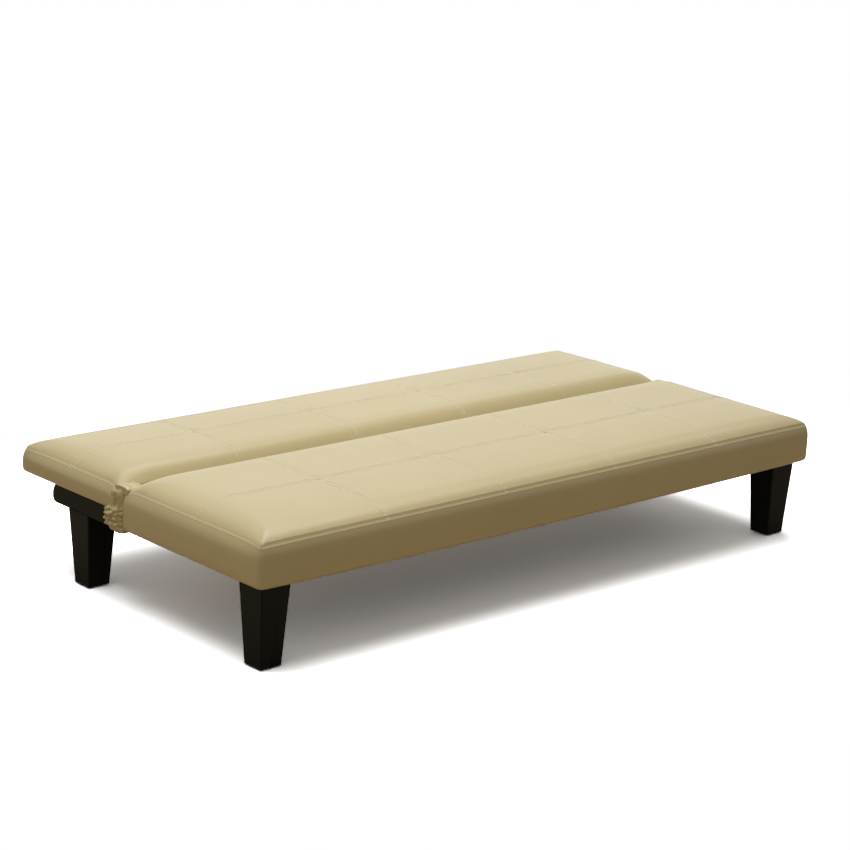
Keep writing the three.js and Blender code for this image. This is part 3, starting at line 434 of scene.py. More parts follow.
plastic, tree, shader = start_material("black_moulded_plastic", 0.5)
specks = noise(tree, stretched_place(tree), 700.0, 2.0)
speckled = two_colours(tree, specks, (0.012, 0.012, 0.012), (0.02, 0.02, 0.02))
tree.links.new(speckled, shader.inputs["Base Color"])
relief(tree, shader, specks, 0.2, 0.0003)

lining_cloth, tree, shader = start_material("black_lining", 0.92)
fibres = noise(tree, stretched_place(tree, (1, 1.7, 1)), 420.0, 5.0, 0.7)
pressed_fibres = two_colours(tree, fibres, (0.010, 0.010, 0.011), (0.030, 0.030, 0.032))
tree.links.new(pressed_fibres, shader.inputs["Base Color"])
relief(tree, shader, fibres, 0.5, 0.0006)
print("finishes", len(bpy.data.materials))

# %% [markdown]
# ## Dress the pieces that keep their CAD shape
# Wood, steel and plastic pieces already have the right form. Only their material slots are filled, and the
# meshes are left as they came. A rail that runs along the bed gets the timber whose fibres run that way.

# %% Give each CAD piece its finish
slot_finish = {
    "plywood": deck_wood, "black_plastic": plastic, "zinc_steel": zinc, "hinge_steel": zinc,
    "spring_steel": dark_steel, "lining_cloth": lining_cloth, "leathercloth": leather, "foam": leather,
}
record_slots = {row["node"]: row["material_slot"] for row in frame["record"]["subparts"]}


def finish_of(name):
    if name.endswith(("ratchet_disc", "_pawl")):
        return plain_steel
    if name.endswith("support_bar"):
        return black_lying
    if name.endswith("_leg"):
        return black_upright
    if record_slots[name] == "frame_wood":
        along = ("front_rail", "rear_rail", "outer_rail", "inner_rail")
        return pine_along if name.endswith(along) else pine_across
    return slot_finish[record_slots[name]]


for name, node in nodes.items():
    node.data.materials.clear()
    node.data.materials.append(finish_of(name))
print("dressed", len(nodes), "pieces")

# %% [markdown]
# ## How long the pads are and how they are divided
# Each pad is a wooden frame under foam, dressed in leathercloth. The CAD covers say where the pads lie, so
# their boxes are measured and not typed. Four seams run across each pad and one runs along it, and they
# meet at tufts.

# %% Measure the two pads
seat_low, seat_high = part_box("seat_cover")
back_low, back_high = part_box("back_cover")
half_length = seat_high.x
pivot = Vector(frame["joints"][0]["pos_m"])
seam_height = pivot.z + 0.016  # of the welt at the free edges
hinge_seam_height = pivot.z + 0.0065  # of the edge down in the groove
panel_count = 5
panel_width = 2 * half_length / panel_count
cross_seams = [panel_width * n - half_length for n in range(1, panel_count)]

seat_pad = {
    "outer": seat_low.y, "toward": 1, "depth": seat_high.y - seat_low.y, "bottom": seat_low.z,
    "roll": 0.200, "corner": 0.011, "hinge_corner": 0.008, "sag": 0.006, "body": "base",
    "border_drops": (0.0035, 0.008, 0.013, 0.019, 0.026, 0.036), "low_rows": 3,
}
back_pad = {
    "outer": back_high.y, "toward": -1, "depth": back_high.y - back_low.y, "bottom": back_low.z,
    "roll": 0.200, "corner": 0.013, "hinge_corner": 0.014, "sag": 0.001, "body": "back",
    "border_drops": (0.0035, 0.008, 0.013, 0.019, 0.026), "low_rows": 0,
}
print("seat depth", round(seat_pad["depth"], 3), "back depth", round(back_pad["depth"], 3))
print("seams at", [round(x, 3) for x in cross_seams])

# %% [markdown]
# ## The crown of a pad
# Foam is fullest in the middle of a pad and is pulled down by the sewn edges, so the top climbs in a quick
# round at the seam and then levels out. A quarter circle and a slow parabola, added, do this at the free
# edges. The seam lies a little way up the round, on a shoulder, so the border leans in below it. At the
# hinge the slope has to stay under the line that the two pads share when the back stands up, and a power
# curve keeps below it. These functions take whole arrays, because numpy shapes thousands of points in one
# step.

# %% Curves that climb from a seam
edge_roll = 0.036  # length of the quick round
shoulder = 0.006  # how far the top's edge lies inside the border


def swell(distance, roll, tight):
    """Climb from 0 to 1: a quick round at the seam, which makes the share tight of it, and a slow curve."""
    start = shoulder / (edge_roll + shoulder)
    share = start + (1 - start) * np.minimum(distance / edge_roll, 1)
    first = math.sqrt(1 - (1 - start) ** 2)
    round_part = (np.sqrt(1 - (1 - share) ** 2) - first) / (1 - first)
    slow_part = 1 - (1 - np.minimum(distance / roll, 1)) ** 2
    return tight * round_part + (1 - tight) * slow_part


def rise(distance, roll, power):
    """Climb from 0 to 1 over the length roll."""
    return 1 - (1 - np.minimum(distance / roll, 1)) ** power


def fade(distance, reach):
    """Fall from 1 to 0 over the length reach."""
    return (1 - np.minimum(distance / reach, 1)) ** 2


def lesser(first, second):
    """The smaller of two shares, with the corner between them rounded."""
    return (np.maximum(first, 1e-4) ** -4 + np.maximum(second, 1e-4) ** -4 - 1) ** -0.25


print("the seam lies", round(shoulder / (edge_roll + shoulder), 3), "of the way along the round")

# %% Describe the crown
crown_rise = 0.0265  # from the free seams to the top of the pad
end_arch = 0.04  # share of the rise that the seams at the ends already have
end_roll = 0.120  # length of the slow curve at the ends
hinge_roll = 0.050  # length of the slope down to the hinge
end_tight, side_tight = 0.36, 0.55  # share of the rise in the quick round
end_dip, end_dip_reach = 0.001, 0.040  # the seam sinks a little at the ends
corner_dip, corner_dip_reach = 0.001, 0.180  # and again at the corners
shared_dip = 0.012  # where two dips meet, they add up to a little less


def top_height(pad, x, outward):
    end_distance = half_length - np.abs(x)
    from_hinge = rise(pad["depth"] - outward, hinge_roll, 2)
    along = end_arch + (1 - end_arch) * swell(end_distance, end_roll, end_tight)
    crown = lesser(along, swell(outward, pad["roll"], side_tight)) * from_hinge
    end_loss = end_dip * fade(end_distance, end_dip_reach)
    hinge_loss = (seam_height - hinge_seam_height) * (1 - from_hinge)
    corner_loss = corner_dip * fade(end_distance, corner_dip_reach) * fade(outward, corner_dip_reach)
    return (
        seam_height + crown * crown_rise - corner_loss
        - end_loss - hinge_loss + end_loss * hinge_loss / shared_dip
    )


for part in (seat_pad, back_pad):
    print("crown", round(float(top_height(part, 0.0, part["depth"] / 2)), 4))

# %% [markdown]
# ## The grid of a pad
# A pad could be cut from a box with modifiers, but a grid whose rows follow the seams keeps every line of
# stitching on a row of points. The rows are close together at edges and seams, where the shape turns
# quickly, and wide apart between them. The top is a sheet of squares, its border drops down the sides ring
# by ring, and a turned-in lip and a flat underside close it, because cloth under pressure needs a closed
# bag.

# %% Space the rows
rows_at_edge = (0, 0.0035, 0.008, 0.014, 0.022)
rows_at_seam = (-0.013, -0.0075, -0.003, 0, 0.003, 0.0075, 0.013)


def spread(total, spacing, seams):
    marks = [*rows_at_edge, *(total - value for value in rows_at_edge)]
    for seam in seams:
        marks += [seam + step for step in rows_at_seam]
    marks = sorted(marks)
    rows = []
    for low, high in zip(marks, marks[1:]):
        count = max(1, math.ceil((high - low) / spacing))
        rows += [low + (high - low) * step / count for step in range(count)]
    return np.array(rows + [total])


def grid_rows(pad):
    """Rows along the bed, and rows from the pad's outer edge towards the hinge."""
    xs = spread(2 * half_length, 0.011, [seam + half_length for seam in cross_seams]) - half_length
    outs = spread(pad["depth"], 0.010, [pad["depth"] / 2])
    return xs, outs if pad["toward"] > 0 else outs[::-1]


print("rows of the seat", [len(rows) for rows in grid_rows(seat_pad)])

# %% Round the corners in plan
def round_corner(end, side, radius):
    a = np.clip(1 - end / radius, 0, 1)
    b = np.clip(1 - side / radius, 0, 1)
    inside = (a > 0) & (b > 0)
    new_end = np.where(inside, radius * (1 - a * np.sqrt(1 - b * b / 2)), end)
    new_side = np.where(inside, radius * (1 - b * np.sqrt(1 - a * a / 2)), side)
    return new_end, new_side


def plan_point(pad, x, outward):
    inward = pad["depth"] - outward
    near_outer = outward < inward
    radius = np.where(near_outer, pad["corner"], pad["hinge_corner"])
    end, side = round_corner(half_length - np.abs(x), np.minimum(outward, inward), radius)
    outward = np.where(near_outer, side, pad["depth"] - side)
    return np.sign(x) * (half_length - end), pad["outer"] + pad["toward"] * outward


print("front corner of the seat", [round(float(v), 4) for v in plan_point(seat_pad, half_length, 0.0)])

# %% Lean the border in under the seam
end_shoulder_more = 0.007  # what the shoulder of the ends has on top
shoulder_reach = 0.050  # how far into the top the shoulder is felt
end_lean, side_lean = 0.034, 0.024  # how far down the border it is felt


def end_shoulder(pad, outward):
    """The shoulder at the bed's ends, which is fuller away from the corners."""
    full = (1 - fade(outward, 0.120)) * (1 - fade(pad["depth"] - outward, 0.050))
    return shoulder + end_shoulder_more * full


def eased_in(pad, x, outward, drop):
    """A point's place in plan, at a depth of drop below the seam."""
    end_share = (1 - np.clip(drop / end_lean, 0, 1)) ** 2
    side_share = (1 - np.clip(drop / side_lean, 0, 1)) ** 2
    near_end = 1 - np.minimum((half_length - np.abs(x)) / shoulder_reach, 1)
    near_side = 1 - np.minimum(outward / shoulder_reach, 1)
    end = end_shoulder(pad, outward) * end_share * near_end
    side = shoulder * side_share * near_side
    plan_x, plan_y = plan_point(pad, x, outward)
    return plan_x - np.sign(x) * end, plan_y + pad["toward"] * side


def unshouldered(distance, inset):
    stretched = np.maximum(distance - inset, 0) / (1 - inset / shoulder_reach)
    return np.where(distance < shoulder_reach, stretched, distance)


def from_seam(pad, x, outward):
    """Turn a place in plan back into distances from the seam."""
    end = unshouldered(half_length - np.abs(x), end_shoulder(pad, outward))
    return np.sign(x) * (half_length - end), unshouldered(outward, shoulder)


print("shoulder of the seat's end", round(float(end_shoulder(seat_pad, seat_pad["depth"] / 2)), 4))

# %% Place the rings of the border
edge_round = 0.009  # radius of the border's lower edge
side_bulge = 0.003  # how far the border bulges between seam and lower edge


def drawn_in(pad, x, y, inset):
    middle = pad["outer"] + pad["toward"] * pad["depth"] / 2
    return x * (1 - inset / half_length), middle + (y - middle) * (1 - 2 * inset / pad["depth"])


def bottom_height(pad, x):
    return pad["bottom"] - pad["sag"] * (1 - (x / half_length) ** 2) ** 0.7


def border_rings(pad, x, outward, top):
    """Places of the border's rings, from the seam down and round the lower edge."""
    bottom = bottom_height(pad, x)
    level = np.zeros(len(x))
    rings = [(top - drop, level) for drop in pad["border_drops"]]
    lowest = top - pad["border_drops"][-1]
    for step in range(1, pad["low_rows"] + 1):
        rings.append((lowest + (bottom + edge_round - lowest) * step / (pad["low_rows"] + 1), level))
    for turn in (0, 30, 60, 90):
        angle = math.radians(turn)
        inset = edge_round * (1 - math.cos(angle))
        rings.append((bottom + edge_round * (1 - math.sin(angle)), level + inset))
    side = np.minimum(outward, pad["depth"] - outward)
    from_corner = np.maximum(half_length - np.abs(x), side)
    placed = []
    for z, inset in rings:
        down = np.clip((top - z) / (top - bottom), 0, 1)
        pull = -side_bulge * np.sin(math.pi * down) * (1 - fade(from_corner, 0.060))
        ring_x, ring_y = drawn_in(pad, *eased_in(pad, x, outward, top - z), inset + pull)
        placed.append(np.stack([ring_x, ring_y, z], axis=-1))
    return placed


print("seat's underside in the middle", round(bottom_height(seat_pad, 0.0), 4))

# %% Join the rings with squares
def grid_squares(rows, columns):
    index = np.arange(rows * columns).reshape(rows, columns)
    squares = np.stack([index[:-1, :-1], index[1:, :-1], index[1:, 1:], index[:-1, 1:]], axis=-1)
    return index, squares.reshape(-1, 4).tolist()


def walk_round(count_x, count_y):
    """Row and column of each point on the edge of the top, once round."""
    walk = [(i, 0) for i in range(count_x - 1)]
    walk += [(count_x - 1, j) for j in range(count_y - 1)]
    walk += [(i, count_y - 1) for i in range(count_x - 1, 0, -1)]
    walk += [(0, j) for j in range(count_y - 1, 0, -1)]
    return np.array(walk).T


def add_ring(points, faces, ring, places):
    start = sum(len(part) for part in points)
    lower = np.arange(start, start + len(ring))
    points.append(places)
    after, lower_after = np.roll(ring, -1), np.roll(lower, -1)
    faces += np.stack([lower, lower_after, after, ring], axis=-1).tolist()
    return lower


def underside(ring, count_x, count_y):
    ring = ring.tolist()
    front = ring[:count_x]
    rear = ring[count_x + count_y - 2:2 * count_x + count_y - 2][::-1]
    right = ring[count_x - 1:count_x + count_y - 1]
    left = ring[2 * count_x + count_y - 3:] + ring[:1]
    faces = [[front[i], rear[i], rear[i + 1], front[i + 1]] for i in range(1, count_x - 2)]
    faces.append(left + [front[1], rear[1]])
    faces.append([rear[-2], front[-2]] + right)
    return faces


print("points round the seat", walk_round(*(len(rows) for rows in grid_rows(seat_pad))).shape[1])

# %% Build a pad's skin
lip_width = 0.030  # how far the cover is turned in under the pad
lip_lift = 0.0022  # how far the closed underside lies above the lip


def pad_mesh(name, pad):
    xs, outs = grid_rows(pad)
    grid_x, grid_out = np.meshgrid(xs, outs, indexing="ij")
    plan_x, plan_y = eased_in(pad, grid_x, grid_out, 0.0)
    top = np.stack([plan_x, plan_y, top_height(pad, grid_x, grid_out)], axis=-1)
    points = [top.reshape(-1, 3)]
    index, faces = grid_squares(len(xs), len(outs))
    row, column = walk_round(len(xs), len(outs))
    edge_x, edge_out = xs[row], outs[column]
    ring = index[row, column]
    for places in border_rings(pad, edge_x, edge_out, top[row, column, 2]):
        ring = add_ring(points, faces, ring, places)
    for z in (bottom_height(pad, edge_x), np.full(len(ring), pad["bottom"] + lip_lift)):
        lip_x, lip_y = drawn_in(pad, *plan_point(pad, edge_x, edge_out), lip_width)
        ring = add_ring(points, faces, ring, np.stack([lip_x, lip_y, z], axis=-1))
    faces += underside(ring, len(xs), len(outs))
    found = new_piece(name, np.concatenate(points).tolist(), faces)
    found.data.validate()
    return found


seat = pad_mesh("seat_upholstery", seat_pad)
back = pad_mesh("back_upholstery", back_pad)
print("points", len(seat.data.vertices), len(back.data.vertices))

# %% [markdown]
# ## Blow up the pads with cloth simulation
# Real upholstery looks soft because stretched fabric bulges between the lines that hold it down. Blender's
# cloth does that: the edges are pinned, the quilting seams are held lightly, air pressure fills the bag for
# twenty frames, and the result is kept as the mesh. A stiffer pin gives a deeper seam, and this bed's seams
# are shallow. Pins near the hinge keep the pads clear of each other when the back stands up. The movement
# is capped, so no point can leave the pad's own space.

# %% Pin the seams
seam_hold = 0.12  # 1 holds a point still
side_hold = 0.55


def seam_distance(pad, x, outward):
    across = np.min([np.abs(x - seam) for seam in cross_seams], axis=0)
    return np.minimum(across, np.abs(outward - pad["depth"] / 2))


def held_near(distance, held, fading):
    """1 up to a distance of held, falling to 0 over the length fading."""
    return np.clip(1 - (distance - held) / fading, 0, 1)


def pin_weights(pad, points):
    x, y, z = points.T
    outward = (y - pad["outer"]) * pad["toward"]
    inward = pad["depth"] - outward
    edge = np.minimum(half_length - np.abs(x), np.minimum(outward, inward))
    on_top = z > top_height(pad, *from_seam(pad, x, np.clip(outward, 0, pad["depth"]))) - 0.002
    near_seam = held_near(seam_distance(pad, x, outward), 0.004, 0.010) * seam_hold
    near_edge = held_near(edge, 0.004, 0.012)
    near_hinge = held_near(inward, 0.020, 0.060)
    top = np.maximum(np.maximum(near_seam, near_edge), near_hinge)
    low = z < pad["bottom"] + 0.004
    side = np.where(low | (inward < 0.03), 1.0, side_hold)
    return np.where(on_top, top, side)


print("a quilting seam is held at", seam_hold, "and the border at", side_hold)

# %% Fill the bags with air
last_frame = 20
most_movement = 0.0018


def inflate(found, pad, cap):
    points = np.array([v.co for v in found.data.vertices])
    group = found.vertex_groups.new(name="pins")
    for number, weight in enumerate(pin_weights(pad, points)):
        group.add([number], float(weight), "REPLACE")
    cloth = found.modifiers.new("cloth", "CLOTH")
    cloth.settings.quality = 5
    cloth.settings.mass = 0.3
    cloth.settings.tension_stiffness = 12
    cloth.settings.compression_stiffness = 12
    cloth.settings.bending_stiffness = 0.6
    cloth.settings.use_pressure = True
    cloth.settings.uniform_pressure_force = 4
    cloth.settings.effector_weights.gravity = 0
    cloth.settings.vertex_group_mass = "pins"
    cloth.settings.pin_stiffness = 2
    cloth.point_cache.frame_start, cloth.point_cache.frame_end = 1, last_frame
    for number in range(1, last_frame + 1):
        scene.frame_set(number)
    ready = found.evaluated_get(bpy.context.evaluated_depsgraph_get())
    moved = np.array([v.co for v in ready.data.vertices]) - points
    scene.frame_set(1)
    found.modifiers.remove(cloth)
    found.vertex_groups.clear()
    size = np.linalg.norm(moved, axis=1, keepdims=True) + 1e-9
    moved *= cap * np.tanh(size / cap) / size
    found.data.vertices.foreach_set("co", (points + moved).ravel())
    found.data.update()
    return float(np.abs(moved).max())


for found, pad in ((seat, seat_pad), (back, back_pad)):
    print(found.name, "moved up to", round(inflate(found, pad, most_movement), 4))

# %% [markdown]
# ## Smooth the pads and sew them
# One step of subdivision halves the squares and rounds them. Then the sewing is pressed in: a narrow crease
# where the top is joined to the border, shallow channels along the seams, and a round dimple at each tuft,
# from which a few short folds run out. The depth comes from each point's distance to the seam, so the lines
# stay crisp.

# %% Subdivide the pads for good
def apply_modifiers(found):
    """Keep what the modifiers make as the piece's own mesh."""
    ready = found.evaluated_get(bpy.context.evaluated_depsgraph_get())
    mesh = bpy.data.meshes.new_from_object(ready)
    found.modifiers.clear()
    old = found.data
    found.data = mesh
    bpy.data.meshes.remove(old)
    mesh.name = found.name


def settle(found, levels=1):
    finer = found.modifiers.new("finer", "SUBSURF")
    finer.levels = finer.render_levels = levels
    apply_modifiers(found)
    return len(found.data.vertices)


for found in (seat, back):
    print(found.name, "points", settle(found))

# %% Give each line of sewing a depth and a width
sewing_lines = {
    "welt": (0.0014, 0.0026),
    "welt at the ends": (0.0007, 0.0026),
    "cross seam": (0.0004, 0.0030),
    "channel of a cross seam": (0.0003, 0.012),
    "lengthwise seam": (0.0002, 0.006),
    "tuft": (0.0022, 0.017),
    "knot of a tuft": (0.0024, 0.0045),
}


def groove(line, distance):
    depth, width = sewing_lines[line]
    return depth * np.exp(-((distance / width) ** 2))


print("lines of sewing", len(sewing_lines))

# %% Measure how far a point lies inside the outline
def plan_inside(pad, x, y):
    """Distance to the pad's rounded outline, seen from above."""
    outward = (y - pad["outer"]) * pad["toward"]
    inward = pad["depth"] - outward
    end = half_length - np.abs(x)
    side = np.minimum(outward, inward)
    radius = np.where(outward < inward, pad["corner"], pad["hinge_corner"])
    in_corner = (end < radius) & (side < radius)
    corner = radius - np.hypot(radius - end, radius - side)
    return np.where(in_corner, corner, np.minimum(end, side))


seat_middle = (seat_low.y + seat_high.y) / 2
print("the seat's middle lies", round(float(plan_inside(seat_pad, 0.0, seat_middle)), 4), "inside")

# %% Press the sewing into a pad
facing_up = 0.45  # above this a point's normal says that it is on the top
seam_ends = 0.012  # the seams start this far inside the outline
tuft_fold_count = 6
tuft_fold_share = 0.30


def sew(found, pad):
    mesh = found.data
    points = np.array([v.co for v in mesh.vertices])
    normals = np.array([v.normal for v in mesh.vertices])
    x, y, z = points.T
    outward = np.clip((y - pad["outer"]) * pad["toward"], 0, pad["depth"])
    inward = pad["depth"] - outward
    rim = top_height(pad, *from_seam(pad, x, outward))
    inside = np.maximum(plan_inside(pad, x, y), 0)
    end = half_length - np.abs(x)
    at_end = end < np.minimum(outward, inward)
    seam_inset = np.where(outward < inward, shoulder, 0)
    seam_inset = np.where(at_end, end_shoulder(pad, outward), seam_inset)
    beside = np.abs(inside - seam_inset)
    from_rim = np.where(z < rim - 0.001, np.hypot(rim - z, beside), beside)
    top = normals[:, 2] > facing_up
    press = np.where(at_end, groove("welt at the ends", from_rim), groove("welt", from_rim))
    across = np.min([np.abs(x - seam) for seam in cross_seams], axis=0)
    middle = np.abs(outward - pad["depth"] / 2)
    easing = np.clip(inside / seam_ends, 0, 1)
    press += top * easing * (groove("cross seam", across) + groove("channel of a cross seam", across))
    press += top * easing * groove("lengthwise seam", middle)
    for seam in cross_seams:
        away = np.hypot(x - seam, outward - pad["depth"] / 2)
        # Adding a share of the seam's place turns each tuft's folds a little differently.
        angle = tuft_fold_count * np.arctan2(outward - pad["depth"] / 2, x - seam) + seam * 9
        folds = 1 + tuft_fold_share * np.cos(angle) * np.clip(away / 0.014, 0, 1)
        press += top * (groove("tuft", away) * folds + groove("knot of a tuft", away))
    points -= normals * press[:, None]
    mesh.vertices.foreach_set("co", points.ravel())
    mesh.update()
    mesh.shade_smooth()
    return float(press.max())


for found, pad in ((seat, seat_pad), (back, back_pad)):
    print(found.name, "pressed in up to", round(sew(found, pad), 4))

# %% [markdown]
# ## The stitches
# Topstitching is a row of short threads, and one thread is a tiny spindle laid on the leathercloth. Each
# row is a path in plan. A ray finds the surface under each stitch and its slope, so the thread lies on the
# finished shape. Rows run beside the welt seam, one on the border and on the long sides one on the top too,
# in a thread of nearly the cover's colour. Paler rows run in pairs along the quilting seams and close up
# just before the edge. At each end of the hinge the cover has a slit, where the plates come out, so the
# stitches stop there and the squares of the slit are taken away.

# %% Make a row of threads
thread_profile = ((-0.5, 0.0), (-0.34, 1.0), (0.34, 1.0), (0.5, 0.0))


def thread_mesh(name, stitches, cotton, length=0.0044, radius=0.0007):
    """One spindle a stitch: a point, two rings of four, and a point."""
    points, faces = [], []
    for place, along, out in stitches:
        sideways = along.cross(out).normalized()
        start = len(points)
        for share, width in thread_profile:
            centre = place + along * share * length + out * radius * 0.35 * width
            if width == 0:
                points.append(centre)
                continue
            for turn in range(4):
                angle = math.pi / 2 * turn
                points.append(centre + (sideways * math.cos(angle) + out * math.sin(angle)) * radius)
        for turn in range(4):
            after = (turn + 1) % 4
            faces.append((start, start + 1 + after, start + 1 + turn))
            faces.append((start + 1 + turn, start + 1 + after, start + 5 + after, start + 5 + turn))
            faces.append((start + 5 + turn, start + 5 + after, start + 9))
    found = new_piece(name, points, faces)
    found.data.shade_smooth()
    found.data.materials.append(cotton)
    return found


print("a thread has", sum(4 if width else 1 for _, width in thread_profile), "points")

# %% Find the surface under each stitch
def tree_of(found):
    mesh = found.data
    return BVHTree.FromPolygons([v.co for v in mesh.vertices], [p.vertices for p in mesh.polygons])


def along_path(path, pitch=0.0054):
    path = np.array(path)
    steps = np.linalg.norm(np.diff(path, axis=0), axis=1)
    total = np.concatenate([[0], np.cumsum(steps)])
    wanted = np.arange(pitch / 2, total[-1], pitch)
    return np.stack([np.interp(wanted, total, path[:, k]) for k in range(path.shape[1])], axis=1)


def stitch_on(surface, spots, aims):
    """Drop each spot along its aim on to the surface; the row's direction comes from its neighbours."""
    hits = [surface.ray_cast(Vector(spot), Vector(aim)) for spot, aim in zip(spots, aims)]
    stitches = []
    for number, (place, out, _, _) in enumerate(hits):
        if place is None:
            continue
        ahead = hits[min(number + 1, len(hits) - 1)][0]
        behind = hits[max(number - 1, 0)][0]
        if ahead is None or behind is None or (ahead - behind).length < 1e-5:
            continue
        along = ahead - behind
        along -= out * along.dot(out)
        stitches.append((place, along.normalized(), out))
    return stitches


def row_from_above(surface, path):
    spots = [(x, y, 0.5) for x, y in path]
    return stitch_on(surface, spots, [(0, 0, -1)] * len(spots))


print("stitches on a metre of seam", len(along_path([(0, 0), (1, 0)])))

# %% Say where the hinge plates come through
plates_low, plates_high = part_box("left_back_plate")
slit_from = -plates_high.x - 0.008
slit_to = -plates_low.x + 0.005
slit_bottom = plates_low.z - 0.004
slit_half_width = 0.007


def in_slit(pad, place):
    hinge_edge = pad["outer"] + pad["toward"] * pad["depth"]
    beside = slit_from < abs(place.x) < slit_to
    return beside and abs(place.y - hinge_edge) < slit_half_width and place.z > slit_bottom


print("slits from", round(slit_from, 4), "to", round(slit_to, 4))

# %% Draw the paths of the welt stitches
def outline_path(pad, count=24):
    """The pad's outline in plan, with its four rounded corners."""
    places = []
    for near_outer, side, start in ((True, 1, -90), (False, 1, 0), (False, -1, 90), (True, -1, 180)):
        radius = pad["corner"] if near_outer else pad["hinge_corner"]
        centre_x = side * (half_length - radius)
        centre_out = radius if near_outer else pad["depth"] - radius
        for step in range(count + 1):
            angle = math.radians(start + 90 * step / count)
            places.append((centre_x + radius * math.cos(angle), centre_out + radius * math.sin(angle)))
    places.append(places[0])
    return [(x, pad["outer"] + pad["toward"] * out) for x, out in places]


def seam_path(pad, inset):
    """The welt seam in plan, moved in by inset."""
    xs = np.linspace(inset - half_length, half_length - inset, 400)
    outs = np.linspace(inset, pad["depth"] - inset, 120)
    loop = [(x, outs[0]) for x in xs] + [(xs[-1], out) for out in outs]
    loop += [(x, outs[-1]) for x in xs[::-1]] + [(xs[0], out) for out in outs[::-1]]
    x, out = np.array(loop).T
    return np.stack(eased_in(pad, x, out, 0.0), axis=1)


print("outline of the seat", len(outline_path(seat_pad)), "places")

# %% Lay the welt's two rows
welt_inset = 0.005  # of the upper row, from the seam
welt_drop = 0.0042  # of the lower row, below the seam
bare_hinge = 0.030  # no lower row this near the hinge
bare_corner = 0.022  # no upper row this near the ends


def upper_row(surface, pad):
    row = row_from_above(surface, along_path(seam_path(pad, welt_inset)))
    return [stitch for stitch in row if abs(stitch[0].x) < half_length - bare_corner]


def border_row(surface, pad):
    flat = along_path(outline_path(pad))
    ahead = np.roll(flat, -1, axis=0) - np.roll(flat, 1, axis=0)
    out = np.stack([ahead[:, 1], -ahead[:, 0]], axis=1) * pad["toward"]
    out /= np.linalg.norm(out, axis=1, keepdims=True)
    outward = np.clip((flat[:, 1] - pad["outer"]) * pad["toward"], 0, pad["depth"])
    heights = top_height(pad, *from_seam(pad, flat[:, 0], outward)) - welt_drop
    keep = outward < pad["depth"] - bare_hinge
    flat, out, heights = flat[keep], out[keep], heights[keep]
    spots = [(x + 0.02 * a, y + 0.02 * b, z) for (x, y), (a, b), z in zip(flat, out, heights)]
    return stitch_on(surface, spots, [(-a, -b, 0) for a, b in out])


print("upper row", welt_inset, "m in from the seam, lower row", welt_drop, "m below it")

# %% Draw the twin rows of the quilting
cross_gap = 0.0056  # from a cross seam to either of its rows
lengthwise_gap = 0.0050
tuft_gap = 0.0085  # the lengthwise rows stop this far from a tuft


def clear_of_tufts(x):
    return min(abs(x - seam) for seam in cross_seams) > tuft_gap


def seam_rows(surface, pad):
    rows = []
    for seam in cross_seams:
        for side in (-1, 1):
            outs = np.linspace(0.004, pad["depth"] - 0.010, 90)
            closing = np.clip((np.minimum(outs, pad["depth"] - outs) - 0.004) / 0.022, 0.3, 1)
            xs = seam + side * cross_gap * closing
            path = np.stack([xs, pad["outer"] + pad["toward"] * outs], axis=1)
            rows += row_from_above(surface, along_path(path))
    middle = pad["outer"] + pad["toward"] * pad["depth"] / 2
    xs = np.linspace(-half_length + 0.006, half_length - 0.006, 240)
    for side in (-1, 1):
        row = row_from_above(surface, along_path([(x, middle + side * lengthwise_gap) for x in xs]))
        rows += [stitch for stitch in row if clear_of_tufts(stitch[0].x)]
    return rows


print("rows beside the quilting seams", 2 * len(cross_seams) + 2)

# %% Sew both pads
def finish_row(name, body, stitches, cotton, **size):
    piece = thread_mesh(name, stitches, cotton, **size)
    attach(piece, body)
    print(piece.name, len(stitches), "stitches")


for found, pad in ((seat, seat_pad), (back, back_pad)):
    surface = tree_of(found)
    for label, rows, cotton in (
        ("welt_stitches", upper_row(surface, pad) + border_row(surface, pad), welt_thread),
        ("quilting_stitches", seam_rows(surface, pad), thread),
    ):
        rows = [row for row in rows if not in_slit(pad, row[0])]
        finish_row(found.name.split("_")[0] + "_" + label, pad["body"], rows, cotton)

# %% [markdown]
# ## The ties of the tufts
# A tuft is a place where a twine goes through the whole pad and pulls the cover down. Here each one is
# closed with a short dark tie at the bottom of its dimple. The tie could be a little knot of curves, but at
# this size the spindle of a stitch, made longer and thicker, has the same look with ten points.

# %% Tie the tufts
tie_step = 0.004  # neighbours that give the tie its direction
tie_size = {"length": 0.011, "radius": 0.0012}

for found, pad in ((seat, seat_pad), (back, back_pad)):
    surface = tree_of(found)
    middle = pad["outer"] + pad["toward"] * pad["depth"] / 2
    ties = []
    for seam in cross_seams:
        beside_seam = [(seam + step, middle) for step in (-tie_step, 0, tie_step)]
        ties.append(row_from_above(surface, beside_seam)[1])
    finish_row(found.name.split("_")[0] + "_tuft_ties", pad["body"], ties, twine, **tie_size)

# %% [markdown]
# ## The slits for the hinge plates
# Each cover has a slit at both ends of the hinge, where the steel plates come out of the pad. A boolean cut
# with a box would leave long thin triangles in the soft mesh. Taking away the few squares that the plates
# pass through is cleaner, and the ragged edge is hidden under the gathered cloth.

# %% Cut the slits
def cut_slits(found, pad):
    shaped = bmesh.new()
    shaped.from_mesh(found.data)
    gone = [face for face in shaped.faces if in_slit(pad, face.calc_center_median())]
    bmesh.ops.delete(shaped, geom=gone, context="FACES")
    shaped.to_mesh(found.data)
    shaped.free()
    return len(gone)


for found, pad in ((seat, seat_pad), (back, back_pad)):
    print(found.name, "faces cut away", cut_slits(found, pad))
